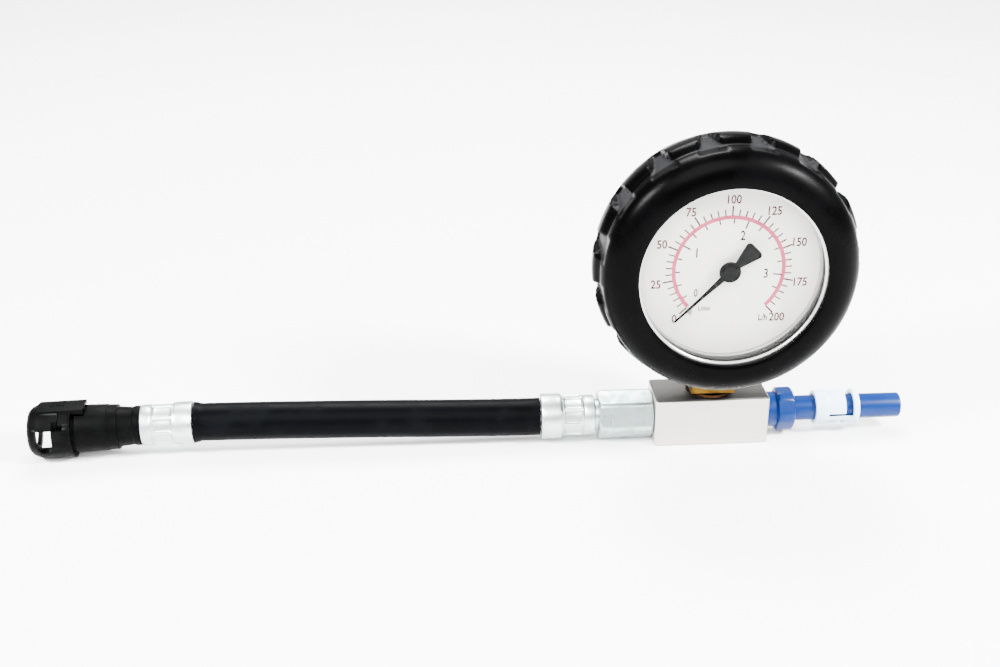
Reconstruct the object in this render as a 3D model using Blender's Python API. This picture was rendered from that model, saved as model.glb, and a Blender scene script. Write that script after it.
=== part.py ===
"""In-line fuel flow meter for a test bench.

A bottom-entry pressure gauge in a rubber boot is screwed into an aluminium block. Fuel comes in
through a quick connector and a short hose, crosses the block and a calibrated jet, and leaves by a
nylon spigot, so the pressure ahead of the jet tells the flow. Units are metres, +Z is up. The
origin is the middle of the block's foot, below the gauge's stem. The flow runs along +X and the
dial faces -Y.
"""

import math

import bmesh
import bpy
from mathutils import Matrix, Vector

MM = 0.001
FIT = 0.3 * MM              # clearance wherever two pieces meet
OVERCUT = 1 * MM            # how far a cutter reaches past what it cuts
TURN = 2 * math.pi

# Block
BLOCK_LENGTH = 36 * MM
BLOCK_DEPTH = 16 * MM
BLOCK_HEIGHT = 16 * MM
BLOCK_EDGE = 0.5 * MM
FLOW_HEIGHT = 8 * MM        # the flow bore above the foot
FLOW_BORE = 1.6 * MM
SIDE_THREAD = 4.8 * MM      # thread radius of the two hose-side fittings
GAUGE_THREAD = 4.9 * MM
GAUGE_THREAD_LENGTH = 6 * MM

# Calibrated jet, at the outlet side of the gauge's port
JET_RADIUS = 2.7 * MM
JET_LENGTH = 4 * MM
JET_HOLE = 0.5 * MM

# Hose nipple and the two crimped ferrules
NIPPLE_FLATS = 14 * MM      # across flats
NIPPLE_LENGTH = 17.2 * MM
NIPPLE_NECK = 1.2 * MM
NIPPLE_NECK_RADIUS = 5 * MM
NIPPLE_CHAMFER = 0.7 * MM
NIPPLE_TURN = math.radians(12)  # its top flat leans this far to the front
TAIL_SHORT = 1.5 * MM       # the tail ends this far inside the ferrule's mouth
TAIL_CLEAR = 2.2 * MM       # plain stretch of the tail before its first barb
TAIL_BORE = 1.7 * MM
TAIL_ROOT = 3.1 * MM
TAIL_BARB = 3.7 * MM
BARB_PITCH = 4.4 * MM
FERRULE_LENGTH = 17 * MM
FERRULE_BORE = 5.0 * MM
FERRULE_SLEEVE = 7.25 * MM  # radius of the uncrimped end that meets the hose
FERRULE_CRIMP = 5.95 * MM   # from the axis to a crimped flat
FERRULE_COLLAR = 6.4 * MM
FERRULE_SLEEVE_LENGTH = 7 * MM
FERRULE_CRIMP_LENGTH = 6.2 * MM
FERRULE_RIDGE = 0.38 * MM   # what stands up between two crimped flats
FERRULE_STEP = 0.7 * MM     # length of the slopes at both ends of the crimp
FERRULE_FLOOR = 1.2 * MM
CRIMPS = 8
INLET_FERRULE_LENGTH = 15.9 * MM
INLET_SLEEVE = 6.75 * MM    # the ferrule at the connector is pressed a little tighter
INLET_SLEEVE_LENGTH = 6 * MM

# Hose, with its centre line's chosen points
HOSE_RADIUS = 5.95 * MM
HOSE_POINTS = [
    (-54.0, 8.0), (-62.0, 8.0), (-74.0, 8.2), (-88.0, 8.55), (-103.0, 9.0),
    (-118.0, 9.35), (-132.0, 9.65), (-145.0, 9.85), (-154.0, 9.95), (-162.0, 10.0),
]
HOSE_STEPS = 12             # points of the finished line; the hose is nearly straight

# Quick connector at the inlet
CONNECTOR_TILT = math.radians(1.5)
CONNECTOR_TAIL = 15 * MM    # barbed stem inside the ferrule
CONNECTOR_NECK = 7.1 * MM
CONNECTOR_NECK_RADIUS = 6.3 * MM
CONNECTOR_NECK_TAPER = 0.4 * MM
CONNECTOR_BARREL = 12.4 * MM
CONNECTOR_BARREL_RADIUS = 7.5 * MM  # at the head; the barrel tapers to its neck
CONNECTOR_BARREL_TAPER = 0.5 * MM
CONNECTOR_GROOVE = 1.2 * MM
CONNECTOR_HEAD = 13.3 * MM
CONNECTOR_HEAD_RADIUS = 8.7 * MM
CONNECTOR_BORE = 6 * MM     # seal chamber and mouth
PIN_SOCKET = 4.3 * MM       # where the mating pin's end sits
PIN_SOCKET_DEPTH = 3 * MM
SEAL_CHAMBER = 11.8 * MM
RING_SECTION = 0.85 * MM    # O-ring cord radius
RING_CENTRE = 4.85 * MM
SPACER_LENGTH = 1.8 * MM
BUSH_LENGTH = 3.6 * MM
LATCH_LENGTH = 3 * MM
LATCH_HALF_WIDTH = 6.6 * MM
LATCH_LEG = 1.9 * MM
LATCH_REACH = 3 * MM        # legs below the bore's axis
PAD_LENGTH = 14 * MM
PAD_HALF_WIDTH = 3.6 * MM
PAD_THICKNESS = 1.2 * MM
PAD_RADIUS = 9 * MM         # the pad is curved like the head and stands a little proud of it
PAD_AHEAD = 3.9 * MM        # overhang behind the head, over the barrel
PRESS_TRAVEL = 1.0 * MM
VIEW_SLOT_WIDTH = 5 * MM
VIEW_SLOT_TOP = 3.6 * MM    # above the bore's axis
VIEW_SLOT_DEPTH = 7.6 * MM
VIEW_SLOT_BACK = 2.6 * MM   # behind the head's mouth
CATCH_LENGTH = 3.4 * MM     # pocket on each side, where the catch can be seen
CATCH_HEIGHT = 2.9 * MM
CATCH_LOW = 3.4 * MM        # above the bore's axis
CATCH_WALL = 0.2 * MM       # what it leaves over the bore
HEAD_ROUNDING = 2 * MM
MOUTH_CHAMFER = 1.2 * MM

# Outlet spigot and its retaining clip
SPIGOT_COLLAR = 3.4 * MM
SPIGOT_COLLAR_RADIUS = 5.6 * MM
SPIGOT_HEX = 5.6 * MM
SPIGOT_FLATS = 13 * MM
SPIGOT_CORNER = 6.9 * MM    # radius at the moulded hexagon's blunt corners
SPIGOT_CHAMFER = 0.8 * MM
SPIGOT_SHANK = 7 * MM
SPIGOT_RADIUS = 4.0 * MM
SPIGOT_BORE = 2.2 * MM
BEAD_BEHIND = 1.2 * MM      # from the clip's back ring to the spigot's bead
CLIP_LENGTH = 14 * MM
CLIP_RADIUS = 5.6 * MM
CLIP_WALL = 1.2 * MM
CLIP_BACK_RING = 3.6 * MM
CLIP_FRONT_RING = 1.8 * MM
CLIP_WAIST = 0.25 * MM      # how much thinner it is between its rings
CLIP_GAP = 1.9 * MM         # the cut behind the front ring
CLIP_LOWER_GAP = 2.6 * MM
CLIP_SLIT = 0.6 * MM
CLIP_SLIT_LENGTH = 6.5 * MM
CLIP_UPPER_CUT = -0.6 * MM  # heights where the upper cut ends and the lower one starts
CLIP_LOWER_CUT = -2.6 * MM
SPIGOT_TIP = 14.1 * MM
SPIGOT_NOSE = 1.0 * MM      # nose rounding

# Gauge, in the dial's frame: x right, y up, z towards the reader, origin on the pointer's axis
GAUGE_TWIST = math.radians(-1)  # it is screwed in until tight, a little short of square
SHANK_SHOW = 7.3 * MM       # from the block's top to the boot
SHANK_FLATS = 14 * MM
WASHER_THICKNESS = 0.9 * MM
WASHER_RADIUS = 7.4 * MM
CASE_RADIUS = 31 * MM
CASE_WALL = 0.8 * MM
CASE_BACK = -8 * MM
CASE_MOUTH = 18.6 * MM
DIAL_FACE = 16.5 * MM
DIAL_THICKNESS = 0.6 * MM
DIAL_INSET = 2.4 * MM       # dial's rim inside the case's outside
BEZEL_COVER = 4.1 * MM      # how far the rings reach in over the dial
GASKET_THICKNESS = 1.4 * MM
GASKET_INSET = 0.4 * MM
WINDOW_THICKNESS = 1.8 * MM
BEZEL_LIP = 0.8 * MM
BEZEL_WALL = 1.2 * MM
CASE_FILLET = 1.2 * MM
PLUG_HOLE = 5 * MM
PLUG_LIP = 1.4 * MM
PLUG_HEAD = 1 * MM
PLUG_INSET = 14 * MM        # from the case's outside in to the plug's middle

# Rubber boot
BOOT_GAP = 0.4 * MM
BOOT_COVER = 3.4 * MM       # how far its front lip reaches in over the case
BOOT_FRONT_WALL = 1.2 * MM
BOOT_BACK_WALL = 1.5 * MM
BOOT_FLAT = 2 * MM          # flat of the front, outside the opening
BOOT_LIP = 7.2 * MM         # wall at the smooth front, outside the case
BOOT_LIP_DEPTH = 7.2 * MM   # how far the rounded front falls back to its full radius
BOOT_WALL = 9.2 * MM        # wall at the lobes
BOOT_REAR_WALL = 2.6 * MM   # wall at the back, where the boot tapers in
BOOT_REAR_COVER = 5 * MM
BOOT_HEAD_ROOM = 1.9 * MM   # behind the case, for screw heads and plug
LOBES = 16
GROOVE_LENGTH = 12 * MM
GROOVE_DEPTH = 2.6 * MM
GROOVE_FRONT_WIDTH = 3.4 * MM   # half widths
GROOVE_BACK_WIDTH = 1.5 * MM

# Pointer work
POINTER_SHORT = 4.9 * MM    # from its tip to the rings' inner edge
POINTER_TAIL = 10.4 * MM
POINTER_THICKNESS = 0.6 * MM
POINTER_LIFT = 1.9 * MM     # above the dial
POINTER_HUB = 3.2 * MM
POINTER_ROOT = 1.1 * MM     # half width at the hub
POINTER_TIP = 0.3 * MM
POINTER_TAIL_WIDTH = 3.1 * MM
ZERO_ANGLE = math.radians(225)  # the zero mark, counter-clockwise from the right
SWEEP = math.radians(270)
STOP_INSET = 5 * MM         # from the pointer's tip in to the stop pin
STOP_PIN = 0.5 * MM
ARBOR = 0.6 * MM
MODULE = 0.32 * MM
PINION_TEETH = 10
SECTOR_TEETH = 80           # of the full circle that the sector is cut from
SECTOR_MARGIN = 2           # teeth kept beyond each end of the swing
TOOTH_SHARE = 0.42          # tooth thickness over pitch
PINION_HEIGHT = 1.0         # tooth heights and the room below them, in modules
SECTOR_HEIGHT = 0.9
TOOTH_ROOM = 0.3
PRESSURE_ANGLE = math.radians(20)
TAIL_ARM = 5 * MM
SECTOR_THICKNESS = 1.0 * MM
SECTOR_BACK = 5.2 * MM
PLATE_THICKNESS = 1.0 * MM
BACK_PLATE = 3.2 * MM
FRONT_PLATE = 10.5 * MM
PILLAR_X = 7.5 * MM
PILLAR_Y = -11 * MM
PILLAR_RADIUS = 1.3 * MM
TENON = 0.8 * MM
SCREW_X = 4.5 * MM
SCREW_INSET = 4.5 * MM      # from the case's outside in to the screws
SCREW_RADIUS = 1.2 * MM
SCREW_HEAD = 1.9 * MM
SCREW_HEAD_HEIGHT = 1.1 * MM
SPRING_TURNS = 3.5
SPRING_INNER = 1.2 * MM
SPRING_OUTER = 6 * MM
SPRING_BACK = 8.4 * MM
SPRING_WIDTH = 0.8 * MM
SPRING_THICKNESS = 0.25 * MM

# Pressure tube
TUBE_INSET = 8.2 * MM       # from the case's inside in to the tube's arc
TUBE_LEVEL = -1 * MM
TUBE_HALF_DEPTH = 3 * MM
TUBE_HALF_THICKNESS = 1.5 * MM
TUBE_WALL = 0.4 * MM
TUBE_END = math.radians(288)
LINK_WIDTH = 0.8 * MM
LINK_THICKNESS = 0.7 * MM
LINK_PLAY = 0.5 * MM        # the eye on the tip is wide, because the tip runs in a straight line
TIP_PIN = 0.6 * MM
TIP_LENGTH = 7.2 * MM

# Worked out from the sizes above
PINION_PITCH = MODULE * PINION_TEETH / 2
SECTOR_PITCH = MODULE * SECTOR_TEETH / 2
SECTOR_PIVOT = Vector((0, -(PINION_PITCH + SECTOR_PITCH), 0))
SECTOR_SWING = SWEEP * PINION_TEETH / SECTOR_TEETH
TAIL_ANGLE = math.radians(-60) - SECTOR_SWING / 2
BLOCK_END = BLOCK_LENGTH / 2
JET_FLOOR = GAUGE_THREAD + FIT          # the jet's seat clears the stem
PORT_FLOOR = JET_FLOOR + FIT + JET_LENGTH
SIDE_PORT_DEPTH = BLOCK_END - PORT_FLOOR
NIPPLE_SEAT = -BLOCK_END
FERRULE_START = NIPPLE_LENGTH + FIT + NIPPLE_NECK
BOOT_CREST = CASE_RADIUS + BOOT_WALL
GAUGE_HEIGHT = BLOCK_HEIGHT + SHANK_SHOW + BOOT_CREST
SOCKET_FOOT = BLOCK_HEIGHT + FIT + WASHER_THICKNESS + FIT - GAUGE_HEIGHT
CASE_INNER = CASE_RADIUS - CASE_WALL
TUBE_CENTRE = CASE_INNER - TUBE_INSET
SCREW_Y = SCREW_INSET - CASE_RADIUS
DIAL_RADIUS = CASE_RADIUS - DIAL_INSET
SIGHT_RADIUS = CASE_RADIUS - BEZEL_COVER
POINTER_LENGTH = SIGHT_RADIUS - POINTER_SHORT
STOP_RADIUS = POINTER_LENGTH - STOP_INSET
BACK_INSIDE = CASE_BACK + CASE_WALL
SOCKET_FACE = BACK_PLATE - FIT
SOCKET_BACK = BACK_INSIDE + FIT
BEZEL_FRONT = CASE_MOUTH + FIT + GASKET_THICKNESS + FIT + WINDOW_THICKNESS + FIT + BEZEL_LIP
GASKET_BACK = CASE_MOUTH + FIT
WINDOW_BACK = GASKET_BACK + GASKET_THICKNESS + FIT
BOOT_CAVITY = CASE_RADIUS + BOOT_GAP
BOOT_OPENING = CASE_RADIUS - BOOT_COVER
BOOT_FRONT_RING = BOOT_OPENING + BOOT_FLAT
BOOT_LIP_RADIUS = CASE_RADIUS + BOOT_LIP
BOOT_FRONT = BEZEL_FRONT + FIT + BOOT_FRONT_WALL
BOOT_INSIDE_BACK = CASE_BACK - BOOT_HEAD_ROOM
BOOT_BACK = BOOT_INSIDE_BACK - BOOT_BACK_WALL
GROOVE_FLOOR = BOOT_CREST - GROOVE_DEPTH
HEAD_START = CONNECTOR_NECK + CONNECTOR_BARREL + CONNECTOR_GROOVE
HEAD_END = HEAD_START + CONNECTOR_HEAD
CHAMBER_START = HEAD_START - SEAL_CHAMBER
LATCH_START = HEAD_START + FIT
POINTER_BACK = DIAL_FACE + POINTER_LIFT

# Attitudes: the piece's own z axis points forward, right or left, and its own y axis points up
FACING_FRONT = (math.pi / 2, 0, GAUGE_TWIST)
RIGHTWARD = (math.pi / 2, 0, math.pi / 2)
LEFTWARD = (math.pi / 2, 0, -math.pi / 2)


def clear_scene():
    for item in list(bpy.data.objects):
        bpy.data.objects.remove(item, do_unlink=True)


def make_material(name, color, roughness, metallic=0.0, alpha=1.0):
    material = bpy.data.materials.new(name)
    material.use_nodes = True
    shader = material.node_tree.nodes["Principled BSDF"]
    shader.inputs["Base Color"].default_value = (*color, 1)
    shader.inputs["Roughness"].default_value = roughness
    shader.inputs["Metallic"].default_value = metallic
    shader.inputs["Alpha"].default_value = alpha
    material.diffuse_color = (*color, alpha)
    return material


def finish(name, mesh_data, material, seat, smooth_below=math.radians(35)):
    """Close the mesh, turn its faces outward and set it on its seat: (parent, place, attitude)."""
    bmesh.ops.remove_doubles(mesh_data, verts=mesh_data.verts, dist=1e-7)
    bmesh.ops.recalc_face_normals(mesh_data, faces=mesh_data.faces)
    mesh = bpy.data.meshes.new(name)
    mesh_data.to_mesh(mesh)
    mesh_data.free()
    mesh.shade_smooth()
    mesh.set_sharp_from_angle(angle=smooth_below)
    piece = bpy.data.objects.new(name, mesh)
    bpy.context.scene.collection.objects.link(piece)
    parent, place, attitude = seat
    piece.parent = parent
    piece.location = place
    piece.rotation_euler = attitude
    if material is not None:
        mesh.materials.append(material)
    return piece


def turned(name, rows, material, seat, columns=32, closed=True):
    """A body of rings along z. A row is (z, radius), and a radius may be a function of the angle.

    closed joins the last row to the first, for a body with a bore; otherwise a flat face covers
    both ends.
    """
    body = bmesh.new()
    rings = []
    for z, radius in rows:
        ring = []
        for column in range(columns):
            angle = TURN * column / columns
            reach = radius(angle) if callable(radius) else radius
            ring.append(body.verts.new((reach * math.cos(angle), reach * math.sin(angle), z)))
        rings.append(ring)
    joins = list(zip(rings, rings[1:]))
    if closed:
        joins.append((rings[-1], rings[0]))
    for first, second in joins:
        for column in range(columns):
            after = (column + 1) % columns
            body.faces.new((first[column], first[after], second[after], second[column]))
    if not closed:
        body.faces.new(rings[0])
        body.faces.new(reversed(rings[-1]))
    return finish(name, body, material, seat)


def extruded(name, outline, bottom, top, material, seat):
    """A plate with the given outline, from z bottom to z top."""
    body = bmesh.new()
    lower = [body.verts.new((x, y, bottom)) for x, y in outline]
    upper = [body.verts.new((x, y, top)) for x, y in outline]
    count = len(outline)
    body.faces.new(lower)
    body.faces.new(upper)
    for index in range(count):
        after = (index + 1) % count
        body.faces.new((lower[index], lower[after], upper[after], upper[index]))
    return finish(name, body, material, seat, math.radians(25))


def box(name, low, high, material, seat, edge=0.0):
    """A box between two corners, with small chamfers if an edge width is given."""
    body = bmesh.new()
    bmesh.ops.create_cube(body, size=1)
    size = [b - a for a, b in zip(low, high)]
    middle = [(a + b) / 2 for a, b in zip(low, high)]
    bmesh.ops.transform(body, matrix=Matrix.Translation(middle) @ Matrix.Diagonal((*size, 1)),
                        verts=body.verts)
    if edge:
        bmesh.ops.bevel(body, geom=body.edges, offset=edge, segments=1, affect="EDGES")
    return finish(name, body, material, seat, math.radians(20))


def arc(center, radius, start, end, steps):
    cx, cy = center
    angles = [start + (end - start) * step / steps for step in range(steps + 1)]
    return [(cx + radius * math.cos(angle), cy + radius * math.sin(angle)) for angle in angles]


def rounded_hull(circles, steps=24):
    """Outline of a belt laid round circles, each (x, y, radius)."""
    points = sorted({point for x, y, radius in circles
                     for point in arc((x, y), radius, 0, TURN * (steps - 1) / steps, steps - 1)})

    def half(sequence):
        chain = []
        for point in sequence:
            while len(chain) > 1:
                (ax, ay), (bx, by) = chain[-2], chain[-1]
                if (bx - ax) * (point[1] - ay) - (by - ay) * (point[0] - ax) > 1e-12:
                    break
                chain.pop()
            chain.append(point)
        return chain[:-1]

    return half(points) + half(points[::-1])


def cut(piece, cutter, operation="DIFFERENCE"):
    """Take the cutter out of the piece, or join it, and keep it as a hidden guide."""
    cutter.hide_render = True
    cutter.display_type = "WIRE"
    boolean = piece.modifiers.new(cutter.name, "BOOLEAN")
    boolean.operation = operation
    boolean.solver = "EXACT"
    boolean.object = cutter
    return piece


def rod(name, radius, bottom, top, seat, columns=20):
    return turned(name, [(bottom, radius), (top, radius)], None, seat, columns, closed=False)


def drill(piece, label, radius, bottom, top, seat, columns=20):
    return cut(piece, rod(f"{piece.name}_{label}", radius, bottom, top, seat, columns))


def at(seat, x=0.0, y=0.0, z=0.0):
    """The same seat, moved within its own attitude's frame."""
    parent, place, attitude = seat
    turn = Matrix.Identity(3)
    if attitude != (0, 0, 0):
        turn = (Matrix.Rotation(attitude[2], 3, "Z") @ Matrix.Rotation(attitude[1], 3, "Y")
                @ Matrix.Rotation(attitude[0], 3, "X"))
    return parent, Vector(place) + turn @ Vector((x, y, z)), attitude


def empty(name, place, attitude):
    holder = bpy.data.objects.new(name, None)
    bpy.context.scene.collection.objects.link(holder)
    holder.location = place
    holder.rotation_euler = attitude
    return holder


def hexagon(across_flats, corner=None):
    """Radius of a hexagon with a flat on top, its corners turned off at the corner radius."""
    def radius(angle):
        from_flat = (angle - math.pi / 2 + math.pi / 6) % (math.pi / 3) - math.pi / 6
        reach = across_flats / 2 / math.cos(from_flat)
        return min(reach, corner) if corner else reach
    return radius


def crimped(flat, corner):
    """Radius of a round tube pressed to flats, with round stretches left between them."""
    def radius(angle):
        sector = TURN / CRIMPS
        from_flat = (angle + sector / 2) % sector - sector / 2
        return min(flat / math.cos(from_flat), corner)
    return radius


def build_block(materials):
    seat = (None, (0, 0, 0), (0, 0, 0))
    half_depth = BLOCK_DEPTH / 2
    block = box("block", (-BLOCK_END, -half_depth, 0), (BLOCK_END, half_depth, BLOCK_HEIGHT),
                materials["aluminium"], seat, BLOCK_EDGE)
    line = (None, (0, 0, FLOW_HEIGHT), RIGHTWARD)
    port = SIDE_THREAD + FIT
    over = BLOCK_END + OVERCUT
    passage = turned("block_passage", [
        (-over, port), (-PORT_FLOOR, port), (-PORT_FLOOR, FLOW_BORE),
        (JET_FLOOR, FLOW_BORE), (JET_FLOOR, JET_RADIUS + FIT), (PORT_FLOOR, JET_RADIUS + FIT),
        (PORT_FLOOR, port), (over, port)], None, line, 24, closed=False)
    cut(block, passage)
    stem = (None, (0, 0, 0), (0, 0, 0))
    mouth = BLOCK_HEIGHT - GAUGE_THREAD_LENGTH - FIT
    top = BLOCK_HEIGHT + OVERCUT
    well = turned("block_well", [
        (FLOW_HEIGHT, FLOW_BORE), (mouth, FLOW_BORE), (mouth, GAUGE_THREAD + FIT),
        (top, GAUGE_THREAD + FIT)], None, stem, 24, closed=False)
    cut(block, well)
    turned("jet", [
        (JET_FLOOR + FIT, JET_HOLE), (JET_FLOOR + FIT, JET_RADIUS),
        (PORT_FLOOR, JET_RADIUS), (PORT_FLOOR, 2 * JET_HOLE),
        (PORT_FLOOR - JET_LENGTH / 3, JET_HOLE)], materials["brass"], line, 20)
    return block


def barbed_tail(start, end, barb):
    """Rows of a hose tail's outside, from its root at start to its tip at end."""
    rows = []
    count = max(2, int((end - start) / BARB_PITCH))
    pitch = (end - start) / count
    for index in range(count):
        root = start + index * pitch
        rows += [(root, TAIL_ROOT), (root + 0.25 * pitch, TAIL_ROOT), (root + 0.3 * pitch, barb)]
    return rows + [(end, TAIL_ROOT)]


def build_nipple(materials):
    seat = (None, (NIPPLE_SEAT, 0, FLOW_HEIGHT), (LEFTWARD[0], NIPPLE_TURN, LEFTWARD[2]))
    corner = NIPPLE_FLATS / 2 / math.cos(math.pi / 6)
    chamfer = NIPPLE_CHAMFER
    hex_row = hexagon(NIPPLE_FLATS, corner)
    end_row = hexagon(NIPPLE_FLATS, NIPPLE_FLATS / 2)
    hex_end = FIT + NIPPLE_LENGTH
    tail_end = FERRULE_START + FERRULE_LENGTH - TAIL_SHORT
    inside = -SIDE_PORT_DEPTH + FIT
    rows = [
        (inside, TAIL_BORE), (inside, SIDE_THREAD - 0.5 * MM), (inside + 0.6 * MM, SIDE_THREAD),
        (FIT, SIDE_THREAD), (FIT, end_row), (FIT + chamfer, hex_row),
        (hex_end - chamfer, hex_row), (hex_end, end_row), (hex_end, NIPPLE_NECK_RADIUS),
        (FERRULE_START - FIT, NIPPLE_NECK_RADIUS), (FERRULE_START - FIT, TAIL_ROOT)]
    rows += barbed_tail(FERRULE_START + TAIL_CLEAR, tail_end, TAIL_BARB)
    rows += [(tail_end, TAIL_BORE)]
    return turned("hose_nipple", rows, materials["zinc"], seat, 24)


def build_ferrule(name, mouth, sleeve, sleeve_length, seat, materials):
    """A crimped sleeve, its own z from the fitting's end to its mouth at the hose."""
    collar = mouth - sleeve_length - FERRULE_CRIMP_LENGTH
    crimp = crimped(FERRULE_CRIMP, FERRULE_CRIMP + FERRULE_RIDGE)
    step = FERRULE_STEP
    hole = TAIL_ROOT + FIT + 0.2 * MM
    floor = FERRULE_FLOOR
    rows = [
        (0, hole), (0, FERRULE_COLLAR - 0.5 * MM), (0.5 * MM, FERRULE_COLLAR),
        (collar - step, FERRULE_COLLAR), (collar, crimp), (collar + FERRULE_CRIMP_LENGTH, crimp),
        (collar + FERRULE_CRIMP_LENGTH + step, sleeve - 0.15 * MM), (mouth - 0.4 * MM, sleeve),
        (mouth, sleeve - 0.4 * MM), (mouth, FERRULE_BORE), (floor, FERRULE_BORE), (floor, hole)]
    return turned(name, rows, materials["zinc"], seat, 24)


def smooth_line(points, steps):
    """A smooth curve through the points, read at even steps (Catmull-Rom spans)."""
    knots = [Vector((x * MM, 0, z * MM)) for x, z in points]
    first = knots[0] * 2 - knots[1]
    last = knots[-1] * 2 - knots[-2]
    knots = [first] + knots + [last]
    spans = len(points) - 1
    line = []
    for step in range(steps + 1):
        place = min(step * spans / steps, spans - 1e-9)
        span = int(place)
        t = place - span
        a, b, c, d = knots[span:span + 4]
        line.append(0.5 * (2 * b + (c - a) * t + (2 * a - 5 * b + 4 * c - d) * t * t
                           + (3 * b - a - 3 * c + d) * t * t * t))
    return line


def build_hose(materials):
    curve = bpy.data.curves.new("hose", "CURVE")
    curve.dimensions = "3D"
    curve.bevel_depth = HOSE_RADIUS
    curve.bevel_resolution = 3
    curve.use_fill_caps = True
    line = smooth_line(HOSE_POINTS, HOSE_STEPS)
    spline = curve.splines.new("POLY")
    spline.points.add(len(line) - 1)
    for point, place in zip(spline.points, line):
        point.co = (*place, 1)
    hose = bpy.data.objects.new("hose", curve)
    bpy.context.scene.collection.objects.link(hose)
    curve.materials.append(materials["rubber"])
    return line[-1]


def build_connector(hose_end, materials):
    ferrule_root = hose_end + Vector((-FIT - INLET_FERRULE_LENGTH * math.cos(CONNECTOR_TILT), 0,
                                      -INLET_FERRULE_LENGTH * math.sin(CONNECTOR_TILT)))
    attitude = (math.pi / 2 + CONNECTOR_TILT, 0, -math.pi / 2)
    axis = empty("connector_axis", ferrule_root, attitude)
    here = (axis, (0, 0, 0), (0, 0, 0))
    ferrule_seat = (axis, (0, 0, 0), (0, math.pi, 0))
    build_ferrule("inlet_ferrule", INLET_FERRULE_LENGTH, INLET_SLEEVE, INLET_SLEEVE_LENGTH,
                  ferrule_seat, materials)

    round_off = HEAD_ROUNDING
    head = CONNECTOR_HEAD_RADIUS
    neck = CONNECTOR_NECK_RADIUS - CONNECTOR_NECK_TAPER
    small = CONNECTOR_BARREL_RADIUS - CONNECTOR_BARREL_TAPER
    groove = CONNECTOR_BARREL_RADIUS - 0.6 * MM
    barrel_end = CONNECTOR_NECK + CONNECTOR_BARREL
    rows = [(-CONNECTOR_TAIL, TAIL_BORE)]
    rows += [(-z, radius) for z, radius in reversed(barbed_tail(2.6 * MM, CONNECTOR_TAIL, TAIL_BARB))]
    rows += [
        (0.4 * MM, TAIL_ROOT), (0.4 * MM, neck + 0.2 * MM), (2.0 * MM, neck + 0.2 * MM),
        (2.4 * MM, neck), (CONNECTOR_NECK, CONNECTOR_NECK_RADIUS), (CONNECTOR_NECK, small - 0.3 * MM),
        (CONNECTOR_NECK + 0.4 * MM, small), (barrel_end, CONNECTOR_BARREL_RADIUS),
        (barrel_end, groove), (HEAD_START, groove), (HEAD_START, head - 0.5 * MM),
        (HEAD_START + 0.6 * MM, head)]
    rows += [(HEAD_END - round_off + round_off * math.sin(angle),
              head - round_off + round_off * math.cos(angle))
             for angle in (0, math.radians(40), math.radians(90))]
    rows += [
        (HEAD_END, CONNECTOR_BORE + 0.2 * MM), (HEAD_END - MOUTH_CHAMFER, CONNECTOR_BORE),
        (CHAMBER_START, CONNECTOR_BORE), (CHAMBER_START, PIN_SOCKET),
        (CHAMBER_START - PIN_SOCKET_DEPTH, PIN_SOCKET),
        (CHAMBER_START - PIN_SOCKET_DEPTH, TAIL_BORE)]
    body = turned("connector_body", rows, materials["nylon_black"], here, 28)

    pad_start = HEAD_START - PAD_AHEAD
    pad_end = pad_start + PAD_LENGTH
    far = CONNECTOR_HEAD_RADIUS + 2 * OVERCUT
    half = PAD_HALF_WIDTH + FIT
    under = PAD_RADIUS - PAD_THICKNESS
    lean = math.asin(half / under)
    floor = arc((0, -PRESS_TRAVEL - FIT), under, math.pi / 2 - lean, math.pi / 2 + lean, 8)
    cut(body, extruded("connector_pad_seat", floor + [(-half, far), (half, far)],
                       pad_start - FIT, pad_end + FIT, None, here))
    slot = LATCH_HALF_WIDTH + FIT
    cut(body, box("connector_latch_slot", (-slot, -LATCH_REACH - PRESS_TRAVEL - FIT, LATCH_START),
                  (slot, far, LATCH_START + LATCH_LENGTH + 2 * FIT), None, here))
    catch_start = LATCH_START + LATCH_LENGTH / 2 + FIT
    for side, name in ((1, "connector_front_catch"), (-1, "connector_rear_catch")):
        near, outside = sorted((side * (CONNECTOR_BORE + CATCH_WALL), side * far))
        cut(body, box(name, (near, CATCH_LOW, catch_start),
                      (outside, CATCH_LOW + CATCH_HEIGHT, catch_start + CATCH_LENGTH), None, here))
    window_end = HEAD_END - VIEW_SLOT_BACK
    half = VIEW_SLOT_WIDTH / 2
    foot = VIEW_SLOT_TOP - VIEW_SLOT_DEPTH
    shield = [(half, VIEW_SLOT_TOP), (-half, VIEW_SLOT_TOP), (-half, foot / 4)]
    shield += arc((0, foot + 0.8 * half), 0.8 * half, math.pi, TURN, 6)
    shield += [(half, foot / 4)]
    window = extruded("connector_front_view", shield, 0, far, None, here)
    window.location = (0, 0, window_end - half)
    window.rotation_euler = (0, math.pi / 2, 0)
    cut(body, window)
    cut(body, box("connector_rear_view", (-far, -far, window_end - VIEW_SLOT_WIDTH),
                  (0, VIEW_SLOT_TOP, window_end), None, here))

    ring_z = [CHAMBER_START + FIT + RING_SECTION]
    spacer_z = ring_z[0] + RING_SECTION + FIT
    ring_z.append(spacer_z + SPACER_LENGTH + FIT + RING_SECTION)
    bush_z = ring_z[1] + RING_SECTION + FIT
    for index, z in enumerate(ring_z):
        section = [(z + RING_SECTION * math.sin(a), RING_CENTRE + RING_SECTION * math.cos(a))
                   for a in (TURN * step / 6 for step in range(6))]
        turned(f"seal_ring_{index + 1}", section, materials["rubber"], here, 18)
    collar = CONNECTOR_BORE - FIT
    inner = PIN_SOCKET + 0.1 * MM
    for name, start, length in (("seal_spacer", spacer_z, SPACER_LENGTH),
                                ("pin_guide_bush", bush_z, BUSH_LENGTH)):
        turned(name, [(start, inner), (start, collar), (start + length, collar),
                      (start + length, inner)], materials["nylon_blue"], here, 24)

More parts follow.
